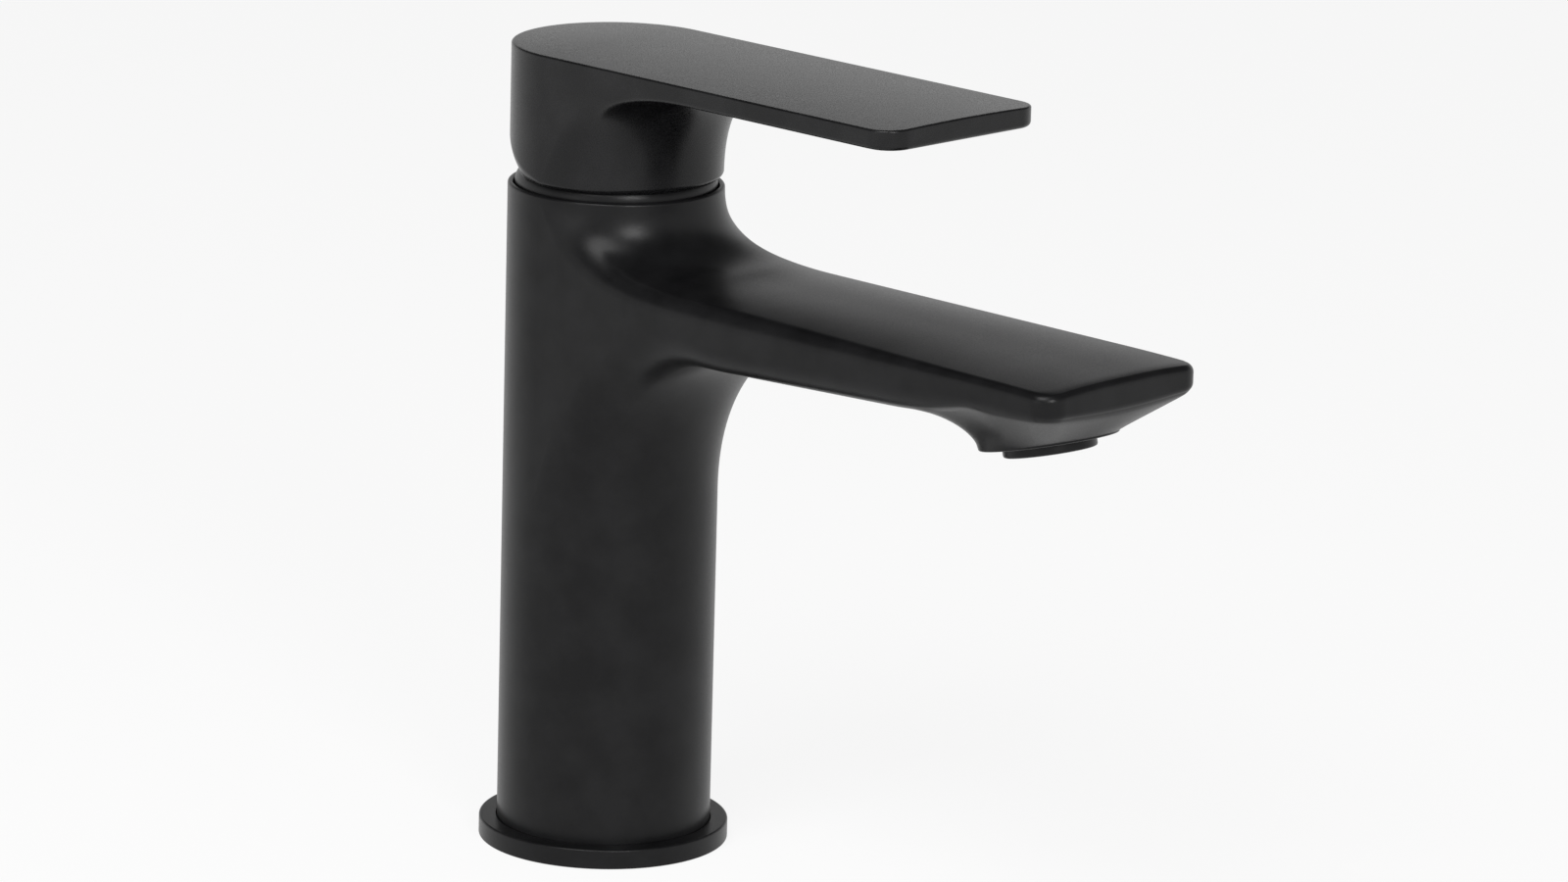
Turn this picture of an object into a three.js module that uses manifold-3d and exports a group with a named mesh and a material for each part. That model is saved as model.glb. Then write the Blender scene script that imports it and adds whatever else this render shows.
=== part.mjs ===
// A single-lever basin mixer faucet, as an assembly of its separate pieces.
// Millimetres, +Z up. The origin is on the deck, on the axis of the column, and the spout points to -Y.
// In the outlines below, "out" is the distance from the column's axis towards the spout's tip, so y = -out.
import * as THREE from "three";
import { mergeVertices } from "three/addons/utils/BufferGeometryUtils.js";
import Module from "manifold-3d";

const wasm = await Module();
wasm.setup();

// ---------------------------------------------------------------- driving dimensions

// Column and base
const COLUMN_RADIUS = 22.5;
const COLUMN_WALL = 4.5;
const RIM_HEIGHT = 140.8; // top of the column
const RIM_WALL = 1.14; // the rim is thinned inside for the cover ring
const RIM_RECESS = 3.3;
const BASE_FLANGE = 3.75; // how far the base ring stands out round the column
const BASE_RING_HEIGHT = 4.2;
const FOOT_RECESS = 1.2; // how deep the column stands in the base ring
const GASKET_THICKNESS = 1.4;
const GASKET_MARGIN = 1.6; // from the gasket's edges to the base ring's edge and to the bore
const O_RING_THICKNESS = 1;
const O_RING_WIDTH = 1.8;

// Spout
const SPOUT_REACH = 143.4; // from the column's axis to the front face
const SPOUT_DROP = 15.15; // from the rim down to the spout's flat top
const SPOUT_DEPTH = 13.3; // from the flat top to where the underside's sweep ends
const SPOUT_CORNER = 5; // corner radius in plan
const SPOUT_WALL = 2.5;
const UNDERSIDE_SLOPE = 0.047; // the underside climbs towards the tip
const TOP_SWEEP_RISE = 13.9; // sweep from the column into the flat top
const TOP_SWEEP_RUN = 26.6;
const LOW_SWEEP_RISE = 36.2; // sweep from the column into the underside
const LOW_SWEEP_RUN = 27.2;
const LIFT_START = 45.4; // from the front face back to where the flanks' lower edges start to lift
const LIFT_LENGTH = 26;
const LIP_DEPTH = 5.3; // flat band round the spout's nose
const LIP_ARCH = 0.9; // the band is this much deeper in the middle of the front
const CREST_ROUND = 0.7; // rounding of the top edges
const EDGE_ROUND = 2.4; // rounding between flank and underside
const NOSE_ROUND = 0.8; // the same at the nose
const ROOT_ROUND = 6; // the same where flank and sweeps leave the column

// Outlet under the spout's tip
const OUTLET_SETBACK = 20; // from the front face to the jet's axis
const OUTLET_DEPTH = 16.1; // from the flat top to the middle of the boss's face
const OUTLET_TILT = 13.8; // degrees, the jet leans away from the column
const BOSS_RADIUS = 14.1;
const BOSS_LIP = 0.4;
const FLARE_WIDTH = 13.5; // concave sweep from the boss to the underside behind it
const CORNER_FLARE = 17; // and at most this far towards the nose's corners
const AERATOR_RADIUS = 9.45;
const AERATOR_WALL = 1.2;
const AERATOR_DROP = 2.1; // how far the aerator hangs out of the boss
const SOCKET_DEPTH = 9;

// Lever
const LEVER_RADIUS = 22.2; // round back of the lever, and half its width
const LEVER_REACH = 98.6;
const LEVER_RISE = 29.65; // from the rim to the lever's flat top
const LEVER_CORNER = 6;
const PLATE_THICKNESS = 4.5;
const PLATE_ROUND = 1; // rounding of the plate's lower edges
const LEVER_CREST = 0.6; // and of its top edges
const NECK_RISE = 22.8; // sweep from the skirt into the plate's underside
const NECK_RUN = 25.4;
const SKIRT_GAP = 1.8; // from the rim to the skirt's front edge
const SKIRT_WALL = 3.2;
const LIFT_ANGLE = 12; // degrees, the full travel from closed to open
const ROOF_THICKNESS = 6.3; // over the skirt's hollow
const HUB_RADIUS = 8;
const HUB_GAP = 4.7; // from the rotor's top to the hub
const SCREW_RADIUS = 2.5;
const SCREW_LENGTH = 8;
const SCREW_RISE = 11.2; // from the rim to the screw's axis
const PLUG_RADIUS = 3.2;
const PLUG_THICKNESS = 2.6;

// Cartridge
const CARTRIDGE_RADIUS = 17.2;
const CARTRIDGE_WALL = 2.2;
const CARTRIDGE_BASE_THICKNESS = 3;
const FIXED_DISC_THICKNESS = 4;
const MOVING_DISC_THICKNESS = 3;
const CARRIER_THICKNESS = 5.3;
const ROTOR_FLANGE_THICKNESS = 4;
const HOUSING_ROOF_THICKNESS = 4.9;
const HOUSING_DEPTH = 9.8; // from the rim down to the housing's top and the lever's pivot
const NECK_RADIUS = 9.5; // rotor's neck
const NECK_HEIGHT = 5.3; // above the housing's top
const DISC_RADIUS = 14.5;
const DISC_TRAVEL = 2.8; // room for the moving disc to slide
const LIMIT_RING_RADIUS = 12.6;
const LIMIT_RING_HEIGHT = 2.6;
const NUT_HEIGHT = 7.7;
const THREAD_WALL = 3.3; // left round the cartridge nut
const PIN_RADIUS = 1.5;
const STEM_WIDTH = 8;
const STEM_DEPTH = 7;
const BALL_RADIUS = 2.5;

// Ports and hose sockets under the cartridge
const PORT_RADIUS = 3;
const INLET_SIDE = 8; // sideways from the axis
const INLET_OUT = 4.5; // inlets lie on the spout's side of the axis
const OUTPORT_BACK = 6.5; // mixed water leaves behind the axis
const SEAT_THICKNESS = 22;
const HOSE_SOCKET_RADIUS = 4.5;
const HOSE_SOCKET_DEPTH = 8;
const STUD_RADIUS = 4;
const STUD_SOCKET_DEPTH = 6;
const STUD_BACK = 11.5;
const SEAL_THICKNESS = 1;
const SEAL_WIDTH = 1.5;
const PEG_RADIUS = 1.5;
const PEG_LENGTH = 2.5;
const PEG_SIDE = 11.5;
const PEG_BACK = 6;

// Ring that covers the nut
const COVER_WIDTH = 4.6;
const COVER_RISE = 4; // above the rim
const COVER_WALL = 1.1;

// Fits
const RUNNING_GAP = 0.1; // between a part that turns or slides and its seat
const CLEARANCE = 0.3; // round a piece that drops into its place
const CARTRIDGE_PLAY = 0.5; // radial, between the cartridge and the body's chamber

const ROUND = 32; // facets of a large round piece
const FINE_ROUND = 40; // facets of the rings that show
const SMALL_ROUND = 14;

// ---------------------------------------------------------------- derived levels and radii

const SPOUT_TOP = RIM_HEIGHT - SPOUT_DROP;
const UNDERSIDE_HEIGHT = SPOUT_TOP - SPOUT_DEPTH;
const OUTLET_OUT = SPOUT_REACH - OUTLET_SETBACK;
const OUTLET_HEIGHT = SPOUT_TOP - OUTLET_DEPTH;
const LEVER_TOP = RIM_HEIGHT + LEVER_RISE;
const PLATE_BOTTOM = LEVER_TOP - PLATE_THICKNESS;
const SKIRT_BOTTOM = RIM_HEIGHT + SKIRT_GAP;
const BORE_RADIUS = COLUMN_RADIUS - COLUMN_WALL;
const BASE_RING_RADIUS = COLUMN_RADIUS + BASE_FLANGE;
const RIM_INNER_RADIUS = COLUMN_RADIUS - RIM_WALL;
const SHOULDER_HEIGHT = RIM_HEIGHT - RIM_RECESS; // ledge that the cover ring sits on
const FOOT_HEIGHT = BASE_RING_HEIGHT - FOOT_RECESS;

// The cartridge's stack, from its top down to the seat in the body
const HOUSING_TOP = RIM_HEIGHT - HOUSING_DEPTH;
const PIVOT_HEIGHT = HOUSING_TOP;
const ROTOR_TOP = HOUSING_TOP + NECK_HEIGHT;
const HOUSING_CEILING = HOUSING_TOP - HOUSING_ROOF_THICKNESS;
const FLANGE_TOP = HOUSING_CEILING - CLEARANCE;
const FLANGE_LOW = FLANGE_TOP - ROTOR_FLANGE_THICKNESS;
const CARRIER_TOP = FLANGE_LOW - CLEARANCE;
const MOVING_TOP = CARRIER_TOP - CARRIER_THICKNESS;
const MOVING_LOW = MOVING_TOP - MOVING_DISC_THICKNESS;
const FIXED_TOP = MOVING_LOW - RUNNING_GAP;
const BASE_TOP = FIXED_TOP - FIXED_DISC_THICKNESS;
const SEAT_HEIGHT = BASE_TOP - CARTRIDGE_BASE_THICKNESS;
const SEAT_UNDERSIDE = SEAT_HEIGHT - SEAT_THICKNESS; // ceiling of the hollow column
const BALL_HEIGHT = MOVING_TOP + CARRIER_THICKNESS / 2 + RUNNING_GAP;
const COVER_RADIUS = RIM_INNER_RADIUS - CLEARANCE;
const THREAD_RADIUS = COLUMN_RADIUS - THREAD_WALL;
const MOVING_RADIUS = DISC_RADIUS - DISC_TRAVEL;
const SCREW_HEIGHT = RIM_HEIGHT + SCREW_RISE;
const HUB_BOTTOM = ROTOR_TOP + HUB_GAP;
const CAVITY_TOP = LEVER_TOP - ROOF_THICKNESS;
const STEM_TOP = CAVITY_TOP - 6;
const PORTS = {
  hot: [-INLET_SIDE, -INLET_OUT],
  cold: [INLET_SIDE, -INLET_OUT],
  outlet: [0, OUTPORT_BACK],
};

// ---------------------------------------------------------------- geometry helpers

// A manifold solid from a closed three.js geometry, with its faces turned outwards.
function solid(geometry) {
  const bare = geometry.clone();
  bare.deleteAttribute("normal");
  bare.deleteAttribute("uv");
  const merged = mergeVertices(bare, 1e-4);
  const corners = merged.index.array;
  const faces = [];
  for (let i = 0; i < corners.length; i += 3) {
    const [a, b, c] = [corners[i], corners[i + 1], corners[i + 2]];
    if (a !== b && b !== c && c !== a) faces.push(a, b, c);
  }
  const points = merged.attributes.position.array;
  const triVerts = new Uint32Array(signedVolume(points, faces) < 0 ? faces.reverse() : faces);
  return new wasm.Manifold(new wasm.Mesh({ numProp: 3, vertProperties: points, triVerts }));
}

function signedVolume(points, faces) {
  const corner = (i) => new THREE.Vector3().fromArray(points, faces[i] * 3);
  let volume = 0;
  for (let i = 0; i < faces.length; i += 3) {
    volume += corner(i).dot(corner(i + 1).cross(corner(i + 2))) / 6;
  }
  return volume;
}

// The three.js geometry of a manifold solid, flat shaded.
function geometryOf(made) {
  const mesh = made.getMesh();
  const geometry = new THREE.BufferGeometry();
  const positions = new Float32Array(mesh.numVert * 3);
  for (let i = 0; i < mesh.numVert; i += 1) {
    positions.set(mesh.vertProperties.slice(i * mesh.numProp, i * mesh.numProp + 3), i * 3);
  }
  geometry.setAttribute("position", new THREE.BufferAttribute(positions, 3));
  geometry.setIndex(new THREE.BufferAttribute(new Uint32Array(mesh.triVerts), 1));
  const flat = geometry.toNonIndexed();
  flat.computeVertexNormals();
  return flat;
}

// A solid of revolution about Z. The profile is a closed run of [radius, height] corners.
function revolve(profile, segments = ROUND) {
  const closed = [...profile, profile[0]].map(([r, z]) => new THREE.Vector2(r, z));
  return solid(new THREE.LatheGeometry(closed, segments).rotateX(Math.PI / 2));
}

// A plain round bar or hole cutter along Z.
function bar(radius, low, high, segments = SMALL_ROUND) {
  const onAxis = [[0, low], [radius, low], [radius, high], [0, high]];
  return solid(
    new THREE.LatheGeometry(onAxis.map(([r, z]) => new THREE.Vector2(r, z)), segments).rotateX(Math.PI / 2),
  );
}

function tube(inner, outer, low, high, segments = ROUND) {
  return revolve([[inner, low], [outer, low], [outer, high], [inner, high]], segments);
}

function block(x0, x1, y0, y1, z0, z1) {
  const made = new THREE.BoxGeometry(x1 - x0, y1 - y0, z1 - z0);
  return solid(made.translate((x0 + x1) / 2, (y0 + y1) / 2, (z0 + z1) / 2));
}

// A round bar between two points, for slanted and crossing bores.
function rod(from, to, radius, segments = SMALL_ROUND) {
  const a = new THREE.Vector3(...from);
  const b = new THREE.Vector3(...to);
  const way = b.clone().sub(a);
  const made = new THREE.CylinderGeometry(radius, radius, way.length(), segments);
  const turn = new THREE.Quaternion().setFromUnitVectors(new THREE.Vector3(0, 1, 0), way.normalize());
  made.applyQuaternion(turn).translate(...a.add(b).divideScalar(2));
  return solid(made);
}

// Cuts copies of one cutter out of a solid, evenly round the Z axis.
function cutAround(made, cutter, count) {
  const turns = Array.from({ length: count }, (_, i) => cutter.rotate([0, 0, (360 / count) * i]));
  return turns.reduce((left, cut) => left.subtract(cut), made);
}

const distance = (p, q) => Math.hypot(p[0] - q[0], p[1] - q[1], p[2] - q[2]);

// A closed skin over a stack of rings, all with their points in the same order, capped at both ends.
// Each face between two rings is split along its shorter diagonal.
function skin(rings) {
  const count = rings[0].length;
  const middle = (ring) => [0, 1, 2].map((k) => ring.reduce((sum, p) => sum + p[k], 0) / count);
  const vertices = [...rings.flat(), middle(rings[0]), middle(rings[rings.length - 1])];
  const faces = [];
  for (let j = 0; j < count; j += 1) {
    const next = (j + 1) % count;
    for (let i = 0; i + 1 < rings.length; i += 1) {
      const [a, b] = [i * count + j, i * count + next];
      const [c, d] = [a + count, b + count];
      const across = distance(vertices[a], vertices[d]) < distance(vertices[b], vertices[c]);
      faces.push(...(across ? [a, b, d, a, d, c] : [a, b, c, b, d, c]));
    }
    const last = (rings.length - 1) * count;
    faces.push(vertices.length - 2, next, j, vertices.length - 1, last + j, last + next);
  }
  const geometry = new THREE.BufferGeometry();
  geometry.setAttribute("position", new THREE.Float32BufferAttribute(vertices.flat(), 3));
  geometry.setIndex(faces);
  return solid(geometry);
}

const radians = THREE.MathUtils.degToRad;
const mix = THREE.MathUtils.lerp;
const ramp = THREE.MathUtils.smoothstep;
const steps = (count) => Array.from({ length: count + 1 }, (_, i) => i / count);

// ---------------------------------------------------------------- shared outline and sweeps

// Half of the plan outline that column, spout and lever share: a round back, a straight flank and a front
// edge with a rounded corner, as [x, out] from the middle of the back to the middle of the front.
function halfOutline(radius, reach, corner) {
  const back = steps(10).map((t) => Math.PI * (1 - t / 2));
  const side = steps(7).slice(1).map((t) => (Math.PI / 2) * (1 - 0.68 * t));
  const round = back.map((a) => [radius * Math.sin(a), radius * Math.cos(a)]);
  const nearFlank = side.map((a) => [radius, radius / Math.tan(a)]);
  const cornerOut = reach - corner;
  const flankStart = nearFlank[nearFlank.length - 1][1];
  const farFlank = steps(6).slice(1, -1).map((t) => [radius, mix(flankStart, cornerOut, t)]);
  const nose = steps(4).map((t) => {
    const a = (t * Math.PI) / 2;
    return [radius - corner + corner * Math.cos(a), cornerOut + corner * Math.sin(a)];
  });
  const front = steps(3).slice(1).map((t) => [(radius - corner) * (1 - t), reach]);
  return [...round, ...nearFlank, ...farFlank, ...nose, ...front];
}

function planOutline(radius, reach, corner) {
  const half = halfOutline(radius, reach, corner);
  return [...half, ...half.slice(1, -1).reverse().map(([x, out]) => [-x, out])];
}

// Draws a point of the outline in by a given distance, towards the outline's middle line.
function drawIn([x, out], inset, radius, reach) {
  const length = Math.hypot(x, Math.min(out, 0));
  const scale = length > 0 ? Math.max(length - inset, 0) / length : 1;
  return out > 0 ? [x * ((radius - inset) / radius), Math.min(out, reach - inset)] : [x * scale, out * scale];
}

// Slides a point of the outline towards the axis: at 0 it is on the column, at 1 it stays on the outline.
function towardsColumn([x, out], share, radius) {
  const distance = Math.hypot(x, out);
  const scale = mix(Math.min(radius, distance), distance, share) / distance;
  return [x * scale, out * scale];
}

const place = ([x, out], z) => [x, -out, z];

// The height of a cubic sweep at a given radius: its four corners are [radius, height].
function sweepHeight(corners, radius) {
  const at = (t, k) => {
    const s = 1 - t;
    const shares = [s ** 3, 3 * s * s * t, 3 * s * t * t, t ** 3];
    return shares.reduce((sum, share, i) => sum + share * corners[i][k], 0);
  };
  if (radius >= corners[3][0]) return corners[3][1];
  let [low, high] = [0, 1];
  for (let i = 0; i < 40; i += 1) {
    const t = (low + high) / 2;
    if (at(t, 0) < radius) low = t;
    else high = t;
  }
  return at(low, 1);
}

// Concave sweep from the column's face into the spout's flat top.
const TOP_SWEEP = [
  [COLUMN_RADIUS, SPOUT_TOP + TOP_SWEEP_RISE],
  [COLUMN_RADIUS, SPOUT_TOP + TOP_SWEEP_RISE * 0.115],
  [COLUMN_RADIUS + TOP_SWEEP_RUN * 0.395, SPOUT_TOP],
  [COLUMN_RADIUS + TOP_SWEEP_RUN, SPOUT_TOP],
];

// Larger concave sweep from the column's front into the spout's underside.
const LOW_SWEEP = [
  [COLUMN_RADIUS, UNDERSIDE_HEIGHT - LOW_SWEEP_RISE],
  [COLUMN_RADIUS, UNDERSIDE_HEIGHT - LOW_SWEEP_RISE * 0.425],
  [COLUMN_RADIUS + LOW_SWEEP_RUN * 0.325, UNDERSIDE_HEIGHT - LOW_SWEEP_RUN * 0.675 * UNDERSIDE_SLOPE],
  [COLUMN_RADIUS + LOW_SWEEP_RUN, UNDERSIDE_HEIGHT],
];
const SWEEP_END = LOW_SWEEP[3][0];

function plainUnderside(radius) {
  return sweepHeight(LOW_SWEEP, radius) + UNDERSIDE_SLOPE * Math.max(radius - SWEEP_END, 0);
}

// The underside with its nose: it lifts from the plain slope to the lip, along the flanks first.
function underside(x, out) {
  const side = Math.min(Math.abs(x) / COLUMN_RADIUS, 1) ** 5;
  const arch = LIP_ARCH * (1 - Math.min(Math.abs(x) / COLUMN_RADIUS, 1) ** 2);
  const lipHeight = SPOUT_TOP - LIP_DEPTH - arch + 0.02 * (out - SPOUT_REACH);
  const liftOut = SPOUT_REACH - LIFT_START;
  const alongFlank = ramp(out, liftOut, liftOut + LIFT_LENGTH);
  const alongMiddle = ramp(out, OUTLET_OUT - BOSS_RADIUS, OUTLET_OUT + BOSS_RADIUS);
  return mix(plainUnderside(Math.hypot(x, out)), lipHeight, mix(alongMiddle, alongFlank, side));
}

// Moves a solid onto the jet's axis: its own Z then runs up the tilted outlet from the boss's face.
function ontoOutlet(made) {
  return made.rotate([-OUTLET_TILT, 0, 0]).translate([0, -OUTLET_OUT, OUTLET_HEIGHT]);
}

// ---------------------------------------------------------------- body casting

// Rounding of the flanks' lower edge: wide at the column, moderate along the spout and small at the nose.
function edgeRound(out) {
  const liftOut = SPOUT_REACH - LIFT_START;
  const fromColumn = ramp(out, 0, COLUMN_RADIUS * 0.3) * mix(
    ROOT_ROUND, EDGE_ROUND, ramp(out, COLUMN_RADIUS * 0.6, COLUMN_RADIUS * 1.8),
  );
  return mix(fromColumn, NOSE_ROUND, ramp(out, liftOut, liftOut + LIFT_LENGTH));
}

// Rounding of the flanks' top edge: wide at the column too, and small from the middle of the spout on.
function crestRound(out) {
  const fromColumn = mix(ROOT_ROUND, CREST_ROUND, ramp(out, COLUMN_RADIUS * 0.6, COLUMN_RADIUS * 3));
  return ramp(out, 0, COLUMN_RADIUS * 0.3) * fromColumn;
}

// Points of the rounding between a surface and the upright flank under it (up = 1) or over it (up = -1),
// from the surface to the flank. The surface is given as its height over a plan point.
function edgeArc(p, heightAt, size, up, [radius, reach]) {
  const probe = 0.05;
  const drawn = heightAt(drawIn(p, probe, radius, reach)) - heightAt(p);
  const climb = Math.atan((up * drawn) / probe);
  const setback = size * Math.tan((Math.PI / 2 - climb) / 2);
  return steps(3).map((t) => {
    const angle = mix(climb, Math.PI / 2, t);
    const q = drawIn(p, size * (1 - Math.sin(angle)), radius, reach);
    return [...q, heightAt(p) + up * (size * Math.cos(angle) - setback)];
  });
}

// Column and spout as one skin of rings: down the top sweep, over the flank and in along the underside.
function bodyShape() {
  const outline = planOutline(COLUMN_RADIUS, SPOUT_REACH, SPOUT_CORNER);
  const limits = [COLUMN_RADIUS, SPOUT_REACH];
  const topAt = (q) => sweepHeight(TOP_SWEEP, Math.hypot(...q));
  const crests = outline.map((p) => edgeArc(p, topAt, crestRound(p[1]), 1, limits));
  const bellies = outline.map((p) => edgeArc(p, (q) => underside(...q), edgeRound(p[1]), -1, limits));
  const ringOf = (arcs, i) => arcs.map((arc) => place([arc[i][0], arc[i][1]], arc[i][2]));
  const top = steps(7).map((t) => 0.24 * t ** 1.8).map((share) => crests.map(([start]) => {
    const q = towardsColumn([start[0], start[1]], share, COLUMN_RADIUS);
    return place(q, topAt(q));
  }));
  const nose = steps(5).slice(1).map((t) => 1 - 0.42 * t);
  const sweep = steps(8).map((t) => 0.26 * (1 - t) ** 1.7);
  const under = [...nose, ...sweep].map((share) => bellies.map(([start]) => {
    const q = towardsColumn([start[0], start[1]], share, COLUMN_RADIUS);
    return place(q, underside(...q));
  }));
  const edges = [0, 1, 2, 3].map((i) => ringOf(crests, i)).concat([3, 2, 1, 0].map((i) => ringOf(bellies, i)));
  const level = (z) => outline.map((p) => place(towardsColumn(p, 0, COLUMN_RADIUS), z));
  return skin([level(RIM_HEIGHT), ...top, ...edges, ...under, level(FOOT_HEIGHT)]);
}

// How far the flare runs out from the boss in a direction: to the outline in front, and less behind.
function flareLength(angle) {
  const toFlank = COLUMN_RADIUS / Math.max(Math.abs(Math.cos(angle)), 0.01);
  const toFront = OUTLET_SETBACK / Math.max(Math.sin(angle), 0.01);
  const longest = BOSS_RADIUS + mix(FLARE_WIDTH, CORNER_FLARE, ramp(Math.sin(angle), -0.3, 0.5));
  return Math.min(toFlank, toFront, longest) - BOSS_RADIUS + CLEARANCE;
}

// The flare's rise from the boss: a round hollow behind it, and straight in front.
function flareRise(share, angle) {
  const behind = 1 - ramp(Math.sin(angle), -0.5, 0.5);
  return mix(share, (1 - (1 - share) ** 1.6) ** (1 / 1.6), behind);
}

// Concave flare from the underside down to the round, tilted boss. The spout's own plan trims it.
function outletFlare() {
  const tilt = radians(OUTLET_TILT);
  const angles = steps(36).slice(1).map((t) => t * 2 * Math.PI);
  const bossRing = (radius, rise) => angles.map((a) => [
    radius * Math.cos(a),
    OUTLET_OUT + radius * Math.sin(a) * Math.cos(tilt) - rise * Math.sin(tilt),
    OUTLET_HEIGHT + radius * Math.sin(a) * Math.sin(tilt) + rise * Math.cos(tilt),
  ]);
  const edge = bossRing(BOSS_RADIUS, BOSS_LIP);
  const away = (share) => edge.map(([x, out], i) => {
    const length = flareLength(angles[i]) * share;
    return [x + length * Math.cos(angles[i]), out + length * Math.sin(angles[i])];
  });
  const ends = away(1).map((q) => underside(...q) + CLEARANCE / 2);
  const flare = steps(5).slice(1).map((t) => t ** 1.4).map((share) => away(share).map((q, i) => {
    return [...q, mix(edge[i][2], ends[i], flareRise(share, angles[i]))];
  }));
  const roof = away(1).map((q) => [...q, SPOUT_TOP - LIP_DEPTH / 2]);
  const rings = [bossRing(BOSS_RADIUS - BOSS_LIP, 0), edge, ...flare, roof];
  const shape = skin(rings.map((ring) => ring.map(([x, out, z]) => place([x, out], z))));
  const plan = planOutline(COLUMN_RADIUS, SPOUT_REACH, SPOUT_CORNER);
  const trim = [OUTLET_HEIGHT - BOSS_RADIUS, SPOUT_TOP - 1].map((z) => plan.map((p) => place(p, z)));
  return shape.intersect(skin(trim));
}

// Hollow column, cartridge chamber, bore for the nut's thread and the recess under the rim.
function columnBores() {
  return bar(BORE_RADIUS, 0, SEAT_UNDERSIDE, ROUND)
    .add(bar(CARTRIDGE_RADIUS + CARTRIDGE_PLAY, SEAT_HEIGHT, RIM_HEIGHT + 1, ROUND))
    .add(bar(THREAD_RADIUS, HOUSING_TOP - CARTRIDGE_WALL, RIM_HEIGHT + 1, ROUND))
    .add(bar(RIM_INNER_RADIUS, SHOULDER_HEIGHT, RIM_HEIGHT + 1, FINE_ROUND));
}

// Peg of the cartridge's floor, or with some extra the hole that it drops into.
function peg(side, extra) {
  const low = SEAT_HEIGHT - PEG_LENGTH - extra;
  return bar(PEG_RADIUS + extra, low, SEAT_HEIGHT + 1, 12).translate([side * PEG_SIDE, PEG_BACK, 0]);
}

// Hose sockets with their ports, the stud's socket and the two peg holes, all round the seat.
function seatBores() {
  const inlet = bar(HOSE_SOCKET_RADIUS, SEAT_UNDERSIDE - 1, SEAT_UNDERSIDE + HOSE_SOCKET_DEPTH)
    .add(bar(PORT_RADIUS, SEAT_UNDERSIDE, SEAT_HEIGHT + 1));
  const stud = bar(STUD_RADIUS, SEAT_UNDERSIDE - 1, SEAT_UNDERSIDE + STUD_SOCKET_DEPTH);
  return [-1, 1].reduce(
    (cut, side) => cut.add(inlet.translate([side * INLET_SIDE, -INLET_OUT, 0])).add(peg(side, CLEARANCE)),
    stud.translate([0, STUD_BACK, 0]),
  );
}

// Passage for mixed water: down from the outlet port, forward below the chamber and up into the spout.
function waterway() {
  const level = SEAT_UNDERSIDE + HOSE_SOCKET_DEPTH + PORT_RADIUS + 0.6;
  const bend = [0, -INLET_OUT - PORT_RADIUS * 2.5, level];
  const spoutEnd = [0, -(COLUMN_RADIUS + 15.5), (SPOUT_TOP + UNDERSIDE_HEIGHT) / 2 - 2];
  const elbow = solid(new THREE.SphereGeometry(PORT_RADIUS, 16, 10)).translate(bend);
  return bar(PORT_RADIUS, level, SEAT_HEIGHT + 1).translate([0, OUTPORT_BACK, 0])
    .add(rod([0, OUTPORT_BACK + PORT_RADIUS, level], bend, PORT_RADIUS))
    .add(elbow)
    .add(rod(bend, spoutEnd, PORT_RADIUS))
    .add(spoutHollow());
}

// Hollow of the spout, as wide as its walls allow, and narrower over the outlet.
function spoutHollow() {
  const ceiling = SPOUT_TOP - SPOUT_WALL;
  const halfWidth = COLUMN_RADIUS - SPOUT_WALL;
  const floorAt = (out) => plainUnderside(Math.max(out, SWEEP_END)) + SPOUT_WALL;
  const startOut = COLUMN_RADIUS + 10.5;
  const noseOut = OUTLET_OUT - BOSS_RADIUS - FLARE_WIDTH * 0.75;
  const corners = [[-1, ceiling], [1, ceiling], [1, 0], [-1, 0]];
  const ring = (out) => corners.map(([side, z]) => [side * halfWidth, -out, z || floorAt(out)]);
  const overOutlet = AERATOR_RADIUS - 0.9;
  const throat = block(
    -overOutlet, overOutlet, -OUTLET_OUT - AERATOR_RADIUS / 2, -noseOut + 1, floorAt(noseOut), ceiling,
  );
  return skin([ring(startOut), ring(noseOut)]).add(throat);
}

function aeratorSocket() {
  const throat = bar(AERATOR_RADIUS - 2.5, SOCKET_DEPTH - 1, SOCKET_DEPTH + 2.5, 32);
  return ontoOutlet(bar(AERATOR_RADIUS + CLEARANCE, -2, SOCKET_DEPTH, ROUND).add(throat));
}

function faucetBody() {
  const cuts = [columnBores(), seatBores(), waterway(), aeratorSocket()];
  return cuts.reduce((left, cut) => left.subtract(cut), bodyShape().add(outletFlare()));
}

// ---------------------------------------------------------------- base

const O_RING_INNER = BORE_RADIUS + 1.4;
const O_RING_OUTER = O_RING_INNER + O_RING_WIDTH;
const GASKET_OUTER = BASE_RING_RADIUS - GASKET_MARGIN;

// Ring under the column: the foot stands in its recess, and the gasket lies flush in its underside.
function baseRing() {
  const foot = COLUMN_RADIUS + CLEARANCE / 2;
  const inner = BORE_RADIUS + CLEARANCE;
  const grooveFloor = FOOT_HEIGHT - O_RING_THICKNESS;
  const pocket = GASKET_OUTER + RUNNING_GAP;
  return revolve([
    [inner, GASKET_THICKNESS], [pocket, GASKET_THICKNESS], [pocket, 0], [BASE_RING_RADIUS, 0],
    [BASE_RING_RADIUS, BASE_RING_HEIGHT], [foot, BASE_RING_HEIGHT], [foot, FOOT_HEIGHT],
    [O_RING_OUTER + RUNNING_GAP, FOOT_HEIGHT], [O_RING_OUTER + RUNNING_GAP, grooveFloor],
    [O_RING_INNER - RUNNING_GAP, grooveFloor], [O_RING_INNER - RUNNING_GAP, FOOT_HEIGHT],
    [inner, FOOT_HEIGHT],
  ], FINE_ROUND);
}

function baseORing() {
  return tube(O_RING_INNER, O_RING_OUTER, FOOT_HEIGHT - O_RING_THICKNESS, FOOT_HEIGHT);
}

function baseGasket() {
  return tube(BORE_RADIUS + GASKET_MARGIN, GASKET_OUTER, 0, GASKET_THICKNESS);
}

// ---------------------------------------------------------------- cartridge, fixed pieces

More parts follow.
